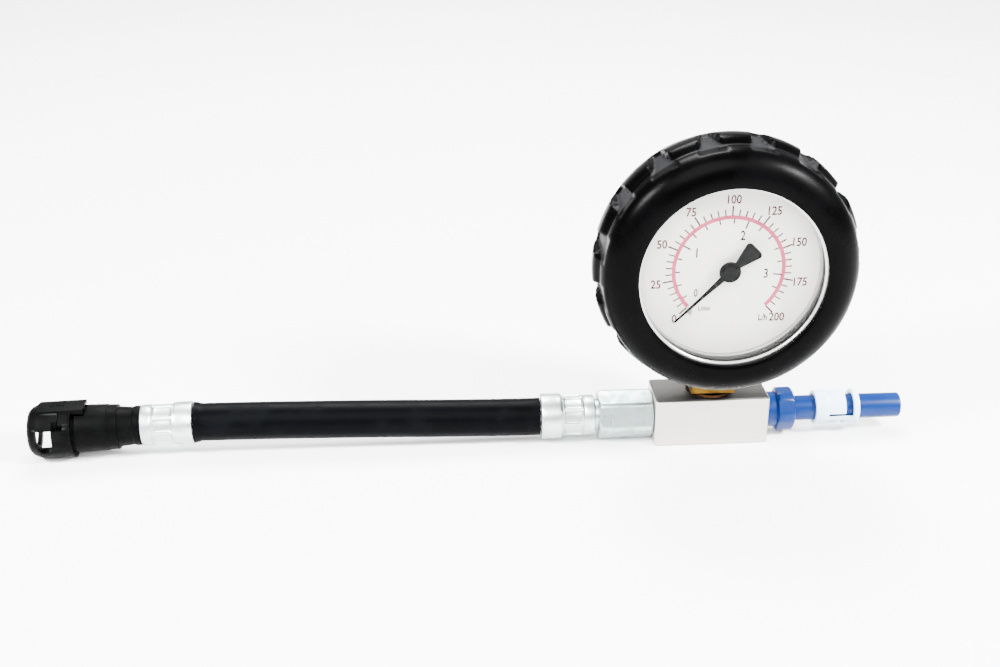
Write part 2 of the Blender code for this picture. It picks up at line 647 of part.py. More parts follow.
    lean = math.asin(PAD_HALF_WIDTH / PAD_RADIUS)
    pad = arc((0, 0), PAD_RADIUS, math.pi / 2 - lean, math.pi / 2 + lean, 8)
    lean = math.asin(PAD_HALF_WIDTH / under)
    pad += arc((0, 0), under, math.pi / 2 + lean, math.pi / 2 - lean, 8)
    button = extruded("release_button", pad, pad_start, pad_end, materials["nylon_black"], here)
    low = LATCH_START + FIT
    high = low + LATCH_LENGTH
    shoulder = CONNECTOR_HEAD_RADIUS - 2.6 * MM
    legs = [(-LATCH_HALF_WIDTH, -LATCH_REACH), (-LATCH_HALF_WIDTH, shoulder - 1.2 * MM),
            (-LATCH_HALF_WIDTH + 1.6 * MM, shoulder + 0.4 * MM),
            (-PAD_HALF_WIDTH + 0.6 * MM, under + 0.1 * MM)]
    legs += [(-x, y) for x, y in reversed(legs)]
    inside = LATCH_HALF_WIDTH - LATCH_LEG
    legs += [(inside, -LATCH_REACH)]
    legs += arc((0, 0.6 * MM), inside, 0, math.pi, 10)
    legs += [(-inside, -LATCH_REACH)]
    cut(button, extruded("release_legs", legs, low, high, None, here), "UNION")
    return axis


def build_spigot(materials):
    seat = (None, (BLOCK_END, 0, FLOW_HEIGHT), RIGHTWARD)
    collar_end = FIT + SPIGOT_COLLAR
    hex_end = collar_end + SPIGOT_HEX
    shank_end = hex_end + SPIGOT_SHANK
    clip_end = shank_end + CLIP_LENGTH
    tip_end = clip_end + SPIGOT_TIP
    bead = shank_end + CLIP_BACK_RING + BEAD_BEHIND
    bead_radius = CLIP_RADIUS - CLIP_WALL - FIT
    chamfer = SPIGOT_CHAMFER
    hex_row = hexagon(SPIGOT_FLATS, SPIGOT_CORNER)
    end_row = hexagon(SPIGOT_FLATS, SPIGOT_CORNER - chamfer)
    inside = -SIDE_PORT_DEPTH + FIT
    rows = [
        (inside, SPIGOT_BORE), (inside, SIDE_THREAD - 0.5 * MM), (inside + 0.6 * MM, SIDE_THREAD),
        (FIT, SIDE_THREAD), (FIT, SPIGOT_COLLAR_RADIUS), (collar_end, SPIGOT_COLLAR_RADIUS),
        (collar_end, end_row), (collar_end + chamfer, hex_row),
        (hex_end - chamfer, hex_row), (hex_end, end_row),
        (hex_end, SPIGOT_RADIUS), (bead - 0.6 * MM, SPIGOT_RADIUS), (bead, bead_radius),
        (bead + 1.6 * MM, bead_radius), (bead + 2.6 * MM, SPIGOT_RADIUS)]
    rows += [(tip_end - SPIGOT_NOSE + SPIGOT_NOSE * math.sin(a),
              SPIGOT_RADIUS - SPIGOT_NOSE + SPIGOT_NOSE * math.cos(a))
             for a in (0, math.radians(45), math.radians(90))]
    rows += [(tip_end, SPIGOT_BORE)]
    turned("outlet_spigot", rows, materials["nylon_blue"], seat, 24)

    inner = CLIP_RADIUS - CLIP_WALL
    start = shank_end
    waist = CLIP_RADIUS - CLIP_WAIST
    clip = turned("spigot_clip", [
        (start, inner), (start, CLIP_RADIUS - 0.2 * MM), (start + 0.5 * MM, CLIP_RADIUS),
        (start + CLIP_BACK_RING, CLIP_RADIUS), (start + CLIP_BACK_RING + 0.6 * MM, waist),
        (clip_end - CLIP_FRONT_RING - 0.4 * MM, waist),
        (clip_end - CLIP_FRONT_RING, CLIP_RADIUS), (clip_end - 0.4 * MM, CLIP_RADIUS),
        (clip_end, CLIP_RADIUS - 0.4 * MM), (clip_end, inner)], materials["clip_white"], seat, 28)
    wide = CLIP_RADIUS + OVERCUT
    gap_end = clip_end - CLIP_FRONT_RING
    gap_start = gap_end - CLIP_GAP
    slit_start = gap_start + CLIP_GAP / 2 - CLIP_SLIT_LENGTH
    cuts = {
        "clip_upper_gap": (CLIP_UPPER_CUT, wide, gap_start, gap_end),
        "clip_upper_slit": (CLIP_UPPER_CUT, CLIP_UPPER_CUT + CLIP_SLIT, slit_start, gap_end),
        "clip_lower_gap": (-wide, CLIP_LOWER_CUT, gap_start - CLIP_LOWER_GAP, gap_start),
        "clip_lower_slit": (CLIP_LOWER_CUT - CLIP_SLIT, CLIP_LOWER_CUT, slit_start, gap_start),
    }
    for name, (low, high, near, far) in cuts.items():
        cut(clip, box(name, (-wide, low, near), (wide, high, far), None, seat))


def build_case(gauge, materials):
    here = (gauge, (0, 0, 0), (0, 0, 0))
    fillet = CASE_FILLET
    rows = [(CASE_BACK, CASE_RADIUS - fillet),
            (CASE_BACK + 0.3 * fillet, CASE_RADIUS - 0.3 * fillet),
            (CASE_BACK + fillet, CASE_RADIUS), (CASE_MOUTH, CASE_RADIUS),
            (CASE_MOUTH, CASE_INNER), (BACK_INSIDE + fillet, CASE_INNER),
            (BACK_INSIDE, CASE_INNER - fillet)]
    case = turned("gauge_case", rows, materials["case_black"], here, 40, closed=False)
    half = SHANK_FLATS / 2 + FIT
    cut(case, box("case_stem_hole", (-half, -CASE_RADIUS - OVERCUT, BACK_INSIDE),
                  (half, -CASE_RADIUS + 4 * MM, half), None, here))
    for side, label in ((-1, "left"), (1, "right")):
        drill(case, f"{label}_screw_hole", SCREW_RADIUS + FIT, CASE_BACK - OVERCUT,
              BACK_INSIDE + OVERCUT, (gauge, (side * SCREW_X, SCREW_Y, 0), (0, 0, 0)), 12)
    plug_seat = (gauge, (0, CASE_RADIUS - PLUG_INSET, 0), (0, 0, 0))
    drill(case, "plug_hole", PLUG_HOLE, CASE_BACK - OVERCUT, BACK_INSIDE + OVERCUT, plug_seat, 24)
    outer = CASE_BACK - FIT
    turned("blowout_plug", [
        (outer - PLUG_HEAD, PLUG_HOLE + PLUG_LIP - 0.4 * MM), (outer, PLUG_HOLE + PLUG_LIP),
        (outer, PLUG_HOLE - FIT), (BACK_INSIDE + FIT, PLUG_HOLE - FIT)],
        materials["rubber"], plug_seat, 24, closed=False)

    wall = CASE_RADIUS - BEZEL_WALL
    lip_back = BEZEL_FRONT - BEZEL_LIP
    turned("bezel", [
        (CASE_MOUTH + FIT, wall), (CASE_MOUTH + FIT, CASE_RADIUS), (BEZEL_FRONT - 0.4 * MM, CASE_RADIUS),
        (BEZEL_FRONT, CASE_RADIUS - 0.4 * MM), (BEZEL_FRONT, SIGHT_RADIUS + 0.3 * MM),
        (BEZEL_FRONT - 0.3 * MM, SIGHT_RADIUS), (lip_back, SIGHT_RADIUS),
        (lip_back, wall)], materials["steel"], here, 40)
    turned("window_gasket", [
        (GASKET_BACK, SIGHT_RADIUS + GASKET_INSET), (GASKET_BACK, wall - FIT),
        (GASKET_BACK + GASKET_THICKNESS, wall - FIT),
        (GASKET_BACK + GASKET_THICKNESS, SIGHT_RADIUS + GASKET_INSET)],
        materials["rubber"], here, 40)
    turned("window", [
        (WINDOW_BACK, wall - FIT), (WINDOW_BACK + WINDOW_THICKNESS, wall - FIT)],
        materials["clear"], here, 40, closed=False)
    turned("dial_ring", [
        (DIAL_FACE + FIT, SIGHT_RADIUS), (DIAL_FACE + FIT, CASE_INNER - FIT),
        (CASE_MOUTH, CASE_INNER - FIT), (CASE_MOUTH, SIGHT_RADIUS)], materials["steel"], here, 40)


def boot_rows():
    """The boot's section outside: rows of (z, crest radius, floor radius, groove half width)."""
    lip_start = BOOT_FRONT - BOOT_LIP_DEPTH
    bulge = BOOT_LIP_RADIUS - BOOT_FRONT_RING
    rows = []
    for step in range(5):
        angle = math.radians(22.5 * step)
        radius = BOOT_FRONT_RING + bulge * math.sin(angle)
        z = lip_start + BOOT_LIP_DEPTH * math.cos(angle)
        rows.append((z, radius, radius, GROOVE_FRONT_WIDTH))
    lobe_start = lip_start - 1.4 * MM
    crest = BOOT_CREST
    floor = GROOVE_FLOOR
    groove_end = lobe_start - GROOVE_LENGTH
    rows += [
        (lobe_start, BOOT_LIP_RADIUS, BOOT_LIP_RADIUS, GROOVE_FRONT_WIDTH),
        (lobe_start - 1.2 * MM, crest - 1.1 * MM, floor + 0.25 * MM, GROOVE_FRONT_WIDTH),
        (lobe_start - 2.8 * MM, crest - 0.1 * MM, floor, 0.92 * GROOVE_FRONT_WIDTH),
        (lobe_start - 6.5 * MM, crest, floor - 0.1 * MM, 0.72 * GROOVE_FRONT_WIDTH),
        (groove_end + 1.8 * MM, crest - 0.5 * MM, floor - 0.1 * MM, 1.15 * GROOVE_BACK_WIDTH),
        (groove_end + 0.5 * MM, crest - 1.1 * MM, floor + 0.5 * MM, GROOVE_BACK_WIDTH),
        (groove_end, crest - 1.4 * MM, crest - 1.4 * MM, 0.8 * GROOVE_BACK_WIDTH)]
    back = BOOT_BACK
    rim = CASE_RADIUS + BOOT_REAR_WALL
    for share in (0.45, 0.85):
        z = groove_end + share * (back - groove_end)
        drop = share ** 1.6
        radius = (crest - 1.4 * MM) * (1 - drop) + rim * drop
        rows.append((z, radius, radius, 0.8 * GROOVE_BACK_WIDTH))
    rows.append((back, rim - 1.2 * MM, rim - 1.2 * MM, 0.8 * GROOVE_BACK_WIDTH))
    return rows


def build_boot(gauge, materials):
    """Lobed outside and stepped bore in one closed skin. Columns follow the groove's edges."""
    across = (-1, -0.72, 0, 0.72, 1)
    depth = (0, 0.85, 1, 0.85, 0)
    lobe_shares = (1 / 2,)
    cavity_front = BEZEL_FRONT + FIT
    rear_opening = CASE_RADIUS - BOOT_REAR_COVER
    plain = [
        (BOOT_BACK, rear_opening), (BOOT_INSIDE_BACK, rear_opening),
        (BOOT_INSIDE_BACK, BOOT_CAVITY), (cavity_front, BOOT_CAVITY),
        (cavity_front, BOOT_OPENING), (BOOT_FRONT - 0.6 * MM, BOOT_OPENING)]
    rows = boot_rows() + [(z, radius, radius, 0.8 * GROOVE_BACK_WIDTH) for z, radius in plain]
    body = bmesh.new()
    rings = []
    for z, crest, floor, half_width in rows:
        ring = []
        half_angle = half_width / crest
        pitch = TURN / LOBES
        for lobe in range(LOBES):
            middle = math.pi / 2 + (lobe + 0.5) * pitch
            spots = [(middle + share * half_angle, floor * deep + crest * (1 - deep))
                     for share, deep in zip(across, depth)]
            span = pitch - 2 * half_angle
            spots += [(middle + half_angle + share * span, crest) for share in lobe_shares]
            ring += [body.verts.new((radius * math.cos(angle), radius * math.sin(angle), z))
                     for angle, radius in spots]
        rings.append(ring)
    count = len(rings[0])
    for first, second in zip(rings, rings[1:] + rings[:1]):
        for column in range(count):
            after = (column + 1) % count
            body.faces.new((first[column], first[after], second[after], second[column]))
    here = (gauge, (0, 0, 0), (0, 0, 0))
    boot = finish("rubber_boot", body, materials["rubber"], here)
    half = SHANK_FLATS / 2 + 2 * FIT
    cut(boot, box("boot_stem_hole", (-half, -BOOT_CREST - OVERCUT, -half),
                  (half, -CASE_RADIUS + 6 * MM, half), None, here))
    return boot


def tube_point(angle, radius=TUBE_CENTRE):
    """A point of the pressure tube's arc; the angle runs clockwise from the bottom."""
    return Vector((-radius * math.sin(angle), -radius * math.cos(angle), 0))


def swept_oval(body, angles, half_thickness, half_depth, columns=10):
    """Rings of an oval section along the tube's arc."""
    rings = []
    for angle in angles:
        ring = []
        for column in range(columns):
            turn = TURN * column / columns
            spot = tube_point(angle, TUBE_CENTRE + half_thickness * math.cos(turn))
            spot.z = TUBE_LEVEL + half_depth * math.sin(turn)
            ring.append(body.verts.new(spot))
        rings.append(ring)
    for first, second in zip(rings, rings[1:]):
        for column in range(columns):
            after = (column + 1) % columns
            body.faces.new((first[column], first[after], second[after], second[column]))
    return rings


def build_tube(gauge, materials):
    here = (gauge, (0, 0, 0), (0, 0, 0))
    body = bmesh.new()
    steps = 24
    angles = [TUBE_END * step / steps for step in range(steps + 1)]
    outer = swept_oval(body, angles, TUBE_HALF_THICKNESS, TUBE_HALF_DEPTH)
    inner = swept_oval(body, angles, TUBE_HALF_THICKNESS - TUBE_WALL, TUBE_HALF_DEPTH - TUBE_WALL)
    for end in (0, -1):
        for column in range(len(outer[0])):
            after = (column + 1) % len(outer[0])
            body.faces.new((outer[end][column], outer[end][after],
                            inner[end][after], inner[end][column]))
    finish("pressure_tube", body, materials["brass"], here)


def build_socket(gauge, materials):
    """Stem, square shank and the block inside the case that carries tube and movement."""
    here = (gauge, (0, 0, 0), (0, 0, 0))
    half = SHANK_FLATS / 2
    shank_top = -math.sqrt((CASE_INNER - 0.6 * MM) ** 2 - half ** 2)
    step = 0.2 * MM
    socket = box("gauge_socket", (-half, SOCKET_FOOT, -half), (half, shank_top, half - step),
                 materials["brass"], here, 0.3 * MM)
    cut(socket, box("socket_head", (-half, shank_top - 2 * MM, SOCKET_BACK),
                    (half, -TUBE_CENTRE + 4 * MM, SOCKET_FACE), None, here), "UNION")
    stem = (gauge, (0, SOCKET_FOOT, 0), (math.pi / 2, 0, 0))
    thread_end = GAUGE_THREAD_LENGTH + 2 * FIT + WASHER_THICKNESS
    thread = turned("socket_thread", [
        (-2 * MM, GAUGE_THREAD), (thread_end - 0.6 * MM, GAUGE_THREAD),
        (thread_end, GAUGE_THREAD - 0.6 * MM)], None, stem, 24, closed=False)
    cut(socket, thread, "UNION")
    slot = bmesh.new()
    room = FIT
    angles = [math.radians(-2.5 + 4.5 * step) for step in range(8)]
    rings = swept_oval(slot, angles, TUBE_HALF_THICKNESS + room, TUBE_HALF_DEPTH + room)
    slot.faces.new(rings[0])
    slot.faces.new(rings[-1])
    cut(socket, finish("socket_tube_slot", slot, None, here))
    bore_top = SOCKET_FOOT + TUBE_CENTRE
    cut(socket, rod("socket_bore", 1.2 * MM, bore_top, thread_end + OVERCUT, stem, 12))
    for side, label in ((-1, "left"), (1, "right")):
        spot = (side * SCREW_X, SCREW_Y, 0)
        drill(socket, f"{label}_case_screw", SCREW_RADIUS + FIT, SOCKET_BACK - OVERCUT,
              SOCKET_BACK + 3.6 * MM, (gauge, spot, (0, 0, 0)), 12)
        drill(socket, f"{label}_plate_screw", SCREW_RADIUS + FIT, SOCKET_FACE - 3.4 * MM,
              SOCKET_FACE + OVERCUT, (gauge, spot, (0, 0, 0)), 12)
        screw(f"case_screw_{label}", spot, CASE_BACK - FIT, CASE_BACK + 4 * MM, -1, gauge, materials)
        screw(f"movement_screw_{label}", spot, BACK_PLATE + PLATE_THICKNESS + FIT,
              BACK_PLATE - 3.2 * MM, 1, gauge, materials)
    under = (None, (0, 0, BLOCK_HEIGHT + FIT), (0, 0, 0))
    turned("stem_washer", [
        (0, GAUGE_THREAD + FIT), (0, WASHER_RADIUS), (WASHER_THICKNESS, WASHER_RADIUS),
        (WASHER_THICKNESS, GAUGE_THREAD + FIT)], materials["copper"], under, 28)


def screw(name, spot, seat_z, end_z, out, gauge, materials):
    """A cheese-head screw with its head on the side that out gives."""
    top = seat_z + out * SCREW_HEAD_HEIGHT
    rows = [(end_z, SCREW_RADIUS), (seat_z, SCREW_RADIUS), (seat_z, SCREW_HEAD),
            (top - out * 0.3 * MM, SCREW_HEAD), (top, SCREW_HEAD - 0.3 * MM)]
    here = (gauge, spot, (0, 0, 0))
    piece = turned(name, rows, materials["steel"], here, 12, closed=False)
    slot = 0.3 * MM
    low, high = sorted((top - out * 0.5 * MM, top + out * 1 * MM))
    cut(piece, box(f"{name}_slot", (-slot, -2 * SCREW_HEAD, low), (slot, 2 * SCREW_HEAD, high),
                   None, here))


def involute(base, radius):
    if radius <= base:
        return 0.0
    pressure = math.acos(base / radius)
    return math.tan(pressure) - pressure


def tooth(teeth, height, depth):
    """Half outline of one tooth as (radius, half angle), from its root to its tip."""
    pitch = MODULE * teeth / 2
    base = pitch * math.cos(PRESSURE_ANGLE)
    root = pitch - depth * MODULE
    tip = pitch + height * MODULE
    start = max(base, root)
    half = math.pi / teeth * TOOTH_SHARE + involute(base, pitch)
    steps = 3
    flank = [start + (tip - start) * step / steps for step in range(steps + 1)]
    return [(root, half)] + [(radius, half - involute(base, radius)) for radius in flank]


def toothed_arc(teeth, first, count, height, depth, rest=0.0):
    """Points of count teeth in a row, the first at angle rest + first pitches."""
    half = tooth(teeth, height, depth)
    points = []
    for index in range(count):
        middle = rest + TURN * (first + index) / teeth
        for sign, side in ((-1, half), (1, half[::-1])):
            points += [(radius * math.cos(middle + sign * angle),
                        radius * math.sin(middle + sign * angle)) for radius, angle in side]
    return points


def build_pinion(gauge, materials):
    here = (gauge, (0, 0, 0), (0, 0, 0))
    half_pitch = math.pi / PINION_TEETH
    outline = toothed_arc(PINION_TEETH, 0, PINION_TEETH, PINION_HEIGHT,
                          SECTOR_HEIGHT + TOOTH_ROOM, -math.pi / 2 + half_pitch)
    low = BACK_PLATE + PLATE_THICKNESS + FIT
    high = SECTOR_BACK + SECTOR_THICKNESS + 0.7 * MM
    pinion = extruded("pinion", outline, low, high, materials["brass"], here)
    hub_front = POINTER_BACK + POINTER_THICKNESS + 0.4 * MM
    cut(pinion, rod("pinion_arbor", ARBOR, BACK_PLATE - 1 * MM, hub_front, here, 12), "UNION")
    return pinion


def build_sector(gauge, materials):
    """Toothed sector on its own arbor, its tail pin and the hub in one piece."""
    here = (gauge, SECTOR_PIVOT, (0, 0, 0))
    pitch_angle = TURN / SECTOR_TEETH
    swung = round(SECTOR_SWING / pitch_angle)
    count = swung + 2 * SECTOR_MARGIN + 1
    outline = toothed_arc(SECTOR_TEETH, -swung - SECTOR_MARGIN, count, SECTOR_HEIGHT,
                          PINION_HEIGHT + TOOTH_ROOM, math.pi / 2)
    first = math.pi / 2 - (swung + SECTOR_MARGIN + 0.5) * pitch_angle
    last = math.pi / 2 + (SECTOR_MARGIN + 0.5) * pitch_angle
    hub = 2.2 * MM
    tail_end = 1.3 * MM
    root = SECTOR_PITCH - (PINION_HEIGHT + TOOTH_ROOM) * MODULE
    outline = [(root * math.cos(first), root * math.sin(first))] + outline
    outline += [(root * math.cos(last), root * math.sin(last))]
    tail = (TAIL_ARM * math.cos(TAIL_ANGLE), TAIL_ARM * math.sin(TAIL_ANGLE))
    outline += arc((0, 0), hub, last + 0.5, math.pi, 4)
    outline += arc(tail, tail_end, TAIL_ANGLE - math.pi / 2, TAIL_ANGLE + math.pi / 2, 8)
    outline += arc((0, 0), hub, 0, first - 0.5, 4)
    low, high = SECTOR_BACK, SECTOR_BACK + SECTOR_THICKNESS
    sector = extruded("sector_gear", outline, low, high, materials["brass"], here)
    cut(sector, rod("sector_arbor", ARBOR, BACK_PLATE - 0.6 * MM,
                    FRONT_PLATE + PLATE_THICKNESS + 0.6 * MM, here, 12), "UNION")
    pin_top = high + 3 * FIT + LINK_THICKNESS
    cut(sector, rod("sector_tail_pin", 0.5 * MM, low + 0.2 * MM, pin_top,
                    at(here, *tail), 10), "UNION")
    return sector


def build_plates(gauge, materials):
    here = (gauge, (0, 0, 0), (0, 0, 0))
    pillars = [(side * PILLAR_X, PILLAR_Y) for side in (-1, 1)]
    upper = [(0, 0, 3.6 * MM)] + [(x, y, 2.6 * MM) for x, y in pillars]
    foot = [(side * SCREW_X, SCREW_Y, 2.2 * MM) for side in (-1, 1)]
    low_end = [(0, SECTOR_PIVOT.y - 1.4 * MM, 2.6 * MM)]
    for name, circles, back in (("movement_back_plate", upper + foot, BACK_PLATE),
                                ("movement_front_plate", upper + low_end, FRONT_PLATE)):
        plate = extruded(name, rounded_hull(circles, 16), back, back + PLATE_THICKNESS,
                         materials["brass"], here)
        holes = [(0, 0, ARBOR + FIT), (0, SECTOR_PIVOT.y, ARBOR + FIT)]
        holes += [(x, y, TENON + FIT) for x, y in pillars]
        if back == BACK_PLATE:
            holes += [(x, y, SCREW_RADIUS + FIT) for x, y, _ in foot]
        for index, (x, y, radius) in enumerate(holes):
            drill(plate, f"hole_{index + 1}", radius, back - OVERCUT,
                  back + PLATE_THICKNESS + OVERCUT, (gauge, (x, y, 0), (0, 0, 0)), 12)
    start = BACK_PLATE + PLATE_THICKNESS + FIT
    end = FRONT_PLATE - FIT
    for index, (x, y) in enumerate(pillars):
        turned(f"movement_pillar_{index + 1}", [
            (BACK_PLATE, TENON), (start, TENON), (start, PILLAR_RADIUS), (end, PILLAR_RADIUS),
            (end, TENON), (DIAL_FACE - DIAL_THICKNESS - FIT, TENON)],
            materials["brass"], (gauge, (x, y, 0), (0, 0, 0)), 12, closed=False)


def build_hairspring(gauge, materials):
    body = bmesh.new()
    steps = int(SPRING_TURNS * 12)
    rings = []
    for step in range(steps + 1):
        angle = TURN * SPRING_TURNS * step / steps
        radius = SPRING_INNER + (SPRING_OUTER - SPRING_INNER) * step / steps
        half = SPRING_THICKNESS / 2
        ring = [body.verts.new(((radius + side * half) * math.cos(angle),
                                (radius + side * half) * math.sin(angle), z))
                for side, z in ((-1, SPRING_BACK), (1, SPRING_BACK), (1, SPRING_BACK + SPRING_WIDTH),
                                (-1, SPRING_BACK + SPRING_WIDTH))]
        rings.append(ring)
    for first, second in zip(rings, rings[1:]):
        for column in range(4):
            after = (column + 1) % 4
            body.faces.new((first[column], first[after], second[after], second[column]))
    body.faces.new(rings[0])
    body.faces.new(rings[-1])
    finish("hairspring", body, materials["steel"], (gauge, (0, 0, 0), (0, 0, 0)))


def build_link(gauge, materials):
    """Flat link from the tube's tip to the sector's tail, and the tip with its pin."""
    tail = SECTOR_PIVOT + TAIL_ARM * Vector((math.cos(TAIL_ANGLE), math.sin(TAIL_ANGLE), 0))
    tip_middle = TUBE_END + TIP_LENGTH / TUBE_CENTRE / 2
    tip = tube_point(tip_middle)
    along = tip - tail
    level = SECTOR_BACK + SECTOR_THICKNESS + FIT
    eye = 1.7 * MM
    circles = [(0, 0, eye), (along.length, 0, eye)]
    link_seat = (gauge, tail, (0, 0, math.atan2(along.y, along.x)))
    eyes = rounded_hull(circles, 16)
    bar = [(x, max(-LINK_WIDTH, min(LINK_WIDTH, y)) if eye < x < along.length - eye else y)
           for x, y in eyes]
    link = extruded("link", bar, level, level + LINK_THICKNESS, materials["brass"], link_seat)
    drill(link, "tail_eye", 0.5 * MM + FIT, level - 1 * MM, level + 2 * MM, link_seat, 12)
    drill(link, "tip_eye", TIP_PIN + LINK_PLAY, level - 1 * MM, level + 2 * MM,
          at(link_seat, x=along.length), 12)

    half = TUBE_HALF_THICKNESS + 0.4 * MM
    seat = (gauge, tip, (0, 0, -tip_middle))
    reach = TIP_LENGTH / 2 - FIT
    block = box("tube_tip", (-reach, -half, TUBE_LEVEL - TUBE_HALF_DEPTH),
                (reach, half, TUBE_LEVEL + TUBE_HALF_DEPTH), materials["brass"], seat, 0.3 * MM)
    cut(block, rod("tip_pin", TIP_PIN, TUBE_LEVEL, level + LINK_THICKNESS + 2 * FIT, seat, 12),
        "UNION")


def build_dial(gauge, materials):
    here = (gauge, (0, 0, 0), (0, 0, 0))
    radius = min(DIAL_RADIUS, CASE_INNER - FIT)
    dial = turned("dial", [(DIAL_FACE - DIAL_THICKNESS, radius), (DIAL_FACE, radius)],
                  materials["dial_white"], here, 40, closed=False)
    drill(dial, "arbor_hole", ARBOR + 2 * FIT, DIAL_FACE - 3 * MM, DIAL_FACE + 3 * MM, here, 12)

    half_at_stop = POINTER_TIP + (POINTER_ROOT - POINTER_TIP) * (1 - STOP_RADIUS / POINTER_LENGTH)
    behind = (half_at_stop + STOP_PIN + FIT) / STOP_RADIUS
    stop = ZERO_ANGLE + behind
    turned("stop_pin", [
        (DIAL_FACE + FIT, STOP_PIN + 0.3 * MM),
        (DIAL_FACE + 0.7 * MM, STOP_PIN + 0.3 * MM), (DIAL_FACE + 0.7 * MM, STOP_PIN),
        (POINTER_BACK + POINTER_THICKNESS + 0.5 * MM, STOP_PIN),
        (POINTER_BACK + POINTER_THICKNESS + 0.7 * MM, 0.0005 * MM)], materials["steel"],
        (gauge, (STOP_RADIUS * math.cos(stop), STOP_RADIUS * math.sin(stop), 0), (0, 0, 0)), 12,
        closed=False)

    hub = POINTER_HUB
    outline = [(POINTER_LENGTH, -POINTER_TIP), (POINTER_LENGTH + 0.3 * MM, 0),
               (POINTER_LENGTH, POINTER_TIP)]
    start = math.asin(POINTER_ROOT / hub)
    outline += arc((0, 0), hub, start, math.pi - 0.35, 8)
    fan = math.atan2(POINTER_TAIL_WIDTH, POINTER_TAIL)
    outline += arc((0, 0), POINTER_TAIL, math.pi - fan, math.pi + fan, 6)
    outline += arc((0, 0), hub, math.pi + 0.35, TURN - start, 8)
    seat = (gauge, (0, 0, 0), (0, 0, ZERO_ANGLE))
    pointer = extruded("pointer", outline, POINTER_BACK, POINTER_BACK + POINTER_THICKNESS,
                       materials["pointer_grey"], seat)
    drill(pointer, "arbor_hole", ARBOR + FIT, POINTER_BACK - 1 * MM,
          POINTER_BACK + POINTER_THICKNESS + 1 * MM, seat, 12)


def build():
    clear_scene()
    materials = {
        "aluminium": make_material("aluminium", (0.72, 0.70, 0.67), 0.45, 1.0),
        "zinc": make_material("zinc", (0.70, 0.76, 0.75), 0.3, 1.0),
        "brass": make_material("brass", (0.50, 0.34, 0.10), 0.35, 1.0),
        "copper": make_material("copper", (0.60, 0.28, 0.15), 0.4, 1.0),
        "steel": make_material("steel", (0.62, 0.63, 0.63), 0.25, 1.0),
        "rubber": make_material("rubber", (0.012, 0.013, 0.015), 0.45),
        "nylon_black": make_material("nylon_black", (0.02, 0.021, 0.021), 0.5),
        "nylon_blue": make_material("nylon_blue", (0.0, 0.07, 0.5), 0.35),
        "clip_white": make_material("clip_white", (0.8, 0.86, 0.92), 0.35),
        "case_black": make_material("case_black", (0.02, 0.02, 0.02), 0.4),
        "dial_white": make_material("dial_white", (0.84, 0.81, 0.78), 0.6),
        "pointer_grey": make_material("pointer_grey", (0.045, 0.045, 0.047), 0.5),
        "clear": make_material("clear", (0.95, 0.97, 0.97), 0.05, 0.0, 0.2),
    }
    build_block(materials)
    build_nipple(materials)
    nipple_end = (None, (NIPPLE_SEAT - FERRULE_START, 0, FLOW_HEIGHT), LEFTWARD)
    build_ferrule("block_ferrule", FERRULE_LENGTH, FERRULE_SLEEVE, FERRULE_SLEEVE_LENGTH,
                  nipple_end, materials)
    hose_end = build_hose(materials)
    build_connector(hose_end, materials)
    build_spigot(materials)
    gauge = empty("gauge_axis", (0, 0, GAUGE_HEIGHT), FACING_FRONT)
    build_case(gauge, materials)
    build_boot(gauge, materials)
    build_socket(gauge, materials)
    build_tube(gauge, materials)
    build_plates(gauge, materials)
    build_pinion(gauge, materials)
    build_sector(gauge, materials)
    build_hairspring(gauge, materials)
    build_link(gauge, materials)
    build_dial(gauge, materials)


build()
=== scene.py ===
# %% [markdown]
# # Dressing a fuel flow meter
# The solids of the meter are already packed as a fixed frame: every size, place and joint comes
# from there. This script keeps those places and makes what the camera sees: fine round shapes,
# grip grooves, a printed dial and finishes with grain and wear. Lengths are in metres, the flow
# runs along +X and the dial faces -Y.

# %% Load the frame
from math import asin, cos, pi, radians, sin, tan

import bmesh
import bpy
from mathutils import Euler, Matrix, Vector


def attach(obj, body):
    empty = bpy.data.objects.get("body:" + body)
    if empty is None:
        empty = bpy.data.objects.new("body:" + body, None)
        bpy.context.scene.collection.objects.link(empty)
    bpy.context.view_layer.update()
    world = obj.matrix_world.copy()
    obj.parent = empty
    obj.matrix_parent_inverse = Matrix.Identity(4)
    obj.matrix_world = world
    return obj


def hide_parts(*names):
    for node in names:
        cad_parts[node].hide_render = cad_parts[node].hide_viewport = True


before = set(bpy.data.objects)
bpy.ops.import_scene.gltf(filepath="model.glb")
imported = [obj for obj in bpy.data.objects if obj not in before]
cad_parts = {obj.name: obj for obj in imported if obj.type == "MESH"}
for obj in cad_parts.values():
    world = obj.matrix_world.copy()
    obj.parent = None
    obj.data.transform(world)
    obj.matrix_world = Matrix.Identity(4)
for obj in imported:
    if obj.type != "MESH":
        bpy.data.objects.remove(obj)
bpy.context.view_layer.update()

MM = 0.001
TURN = 2 * pi
GAP = 0.3 * MM              # clearance between neighbours, as in the solids

# %% [markdown]
# ## The camera
# A lens of normal length, a little above the meter and less than half a metre away, gives the look
# of a catalogue picture. The camera is set by angles round a target point, because these can be
# read off a photograph and refined one at a time.

# %% Camera
LENS = 51.08                # mm on a 36 mm wide sensor
CAMERA_AZIMUTH = radians(4)
CAMERA_ELEVATION = radians(24.77)
CAMERA_ROLL = radians(-0.02)
CAMERA_DISTANCE = 438.3 * MM
CAMERA_TARGET = Vector((-66.49, 0, 37.38)) * MM


def new_object(name, data):
    thing = bpy.data.objects.new(name, data)
    bpy.context.scene.collection.objects.link(thing)
    return thing


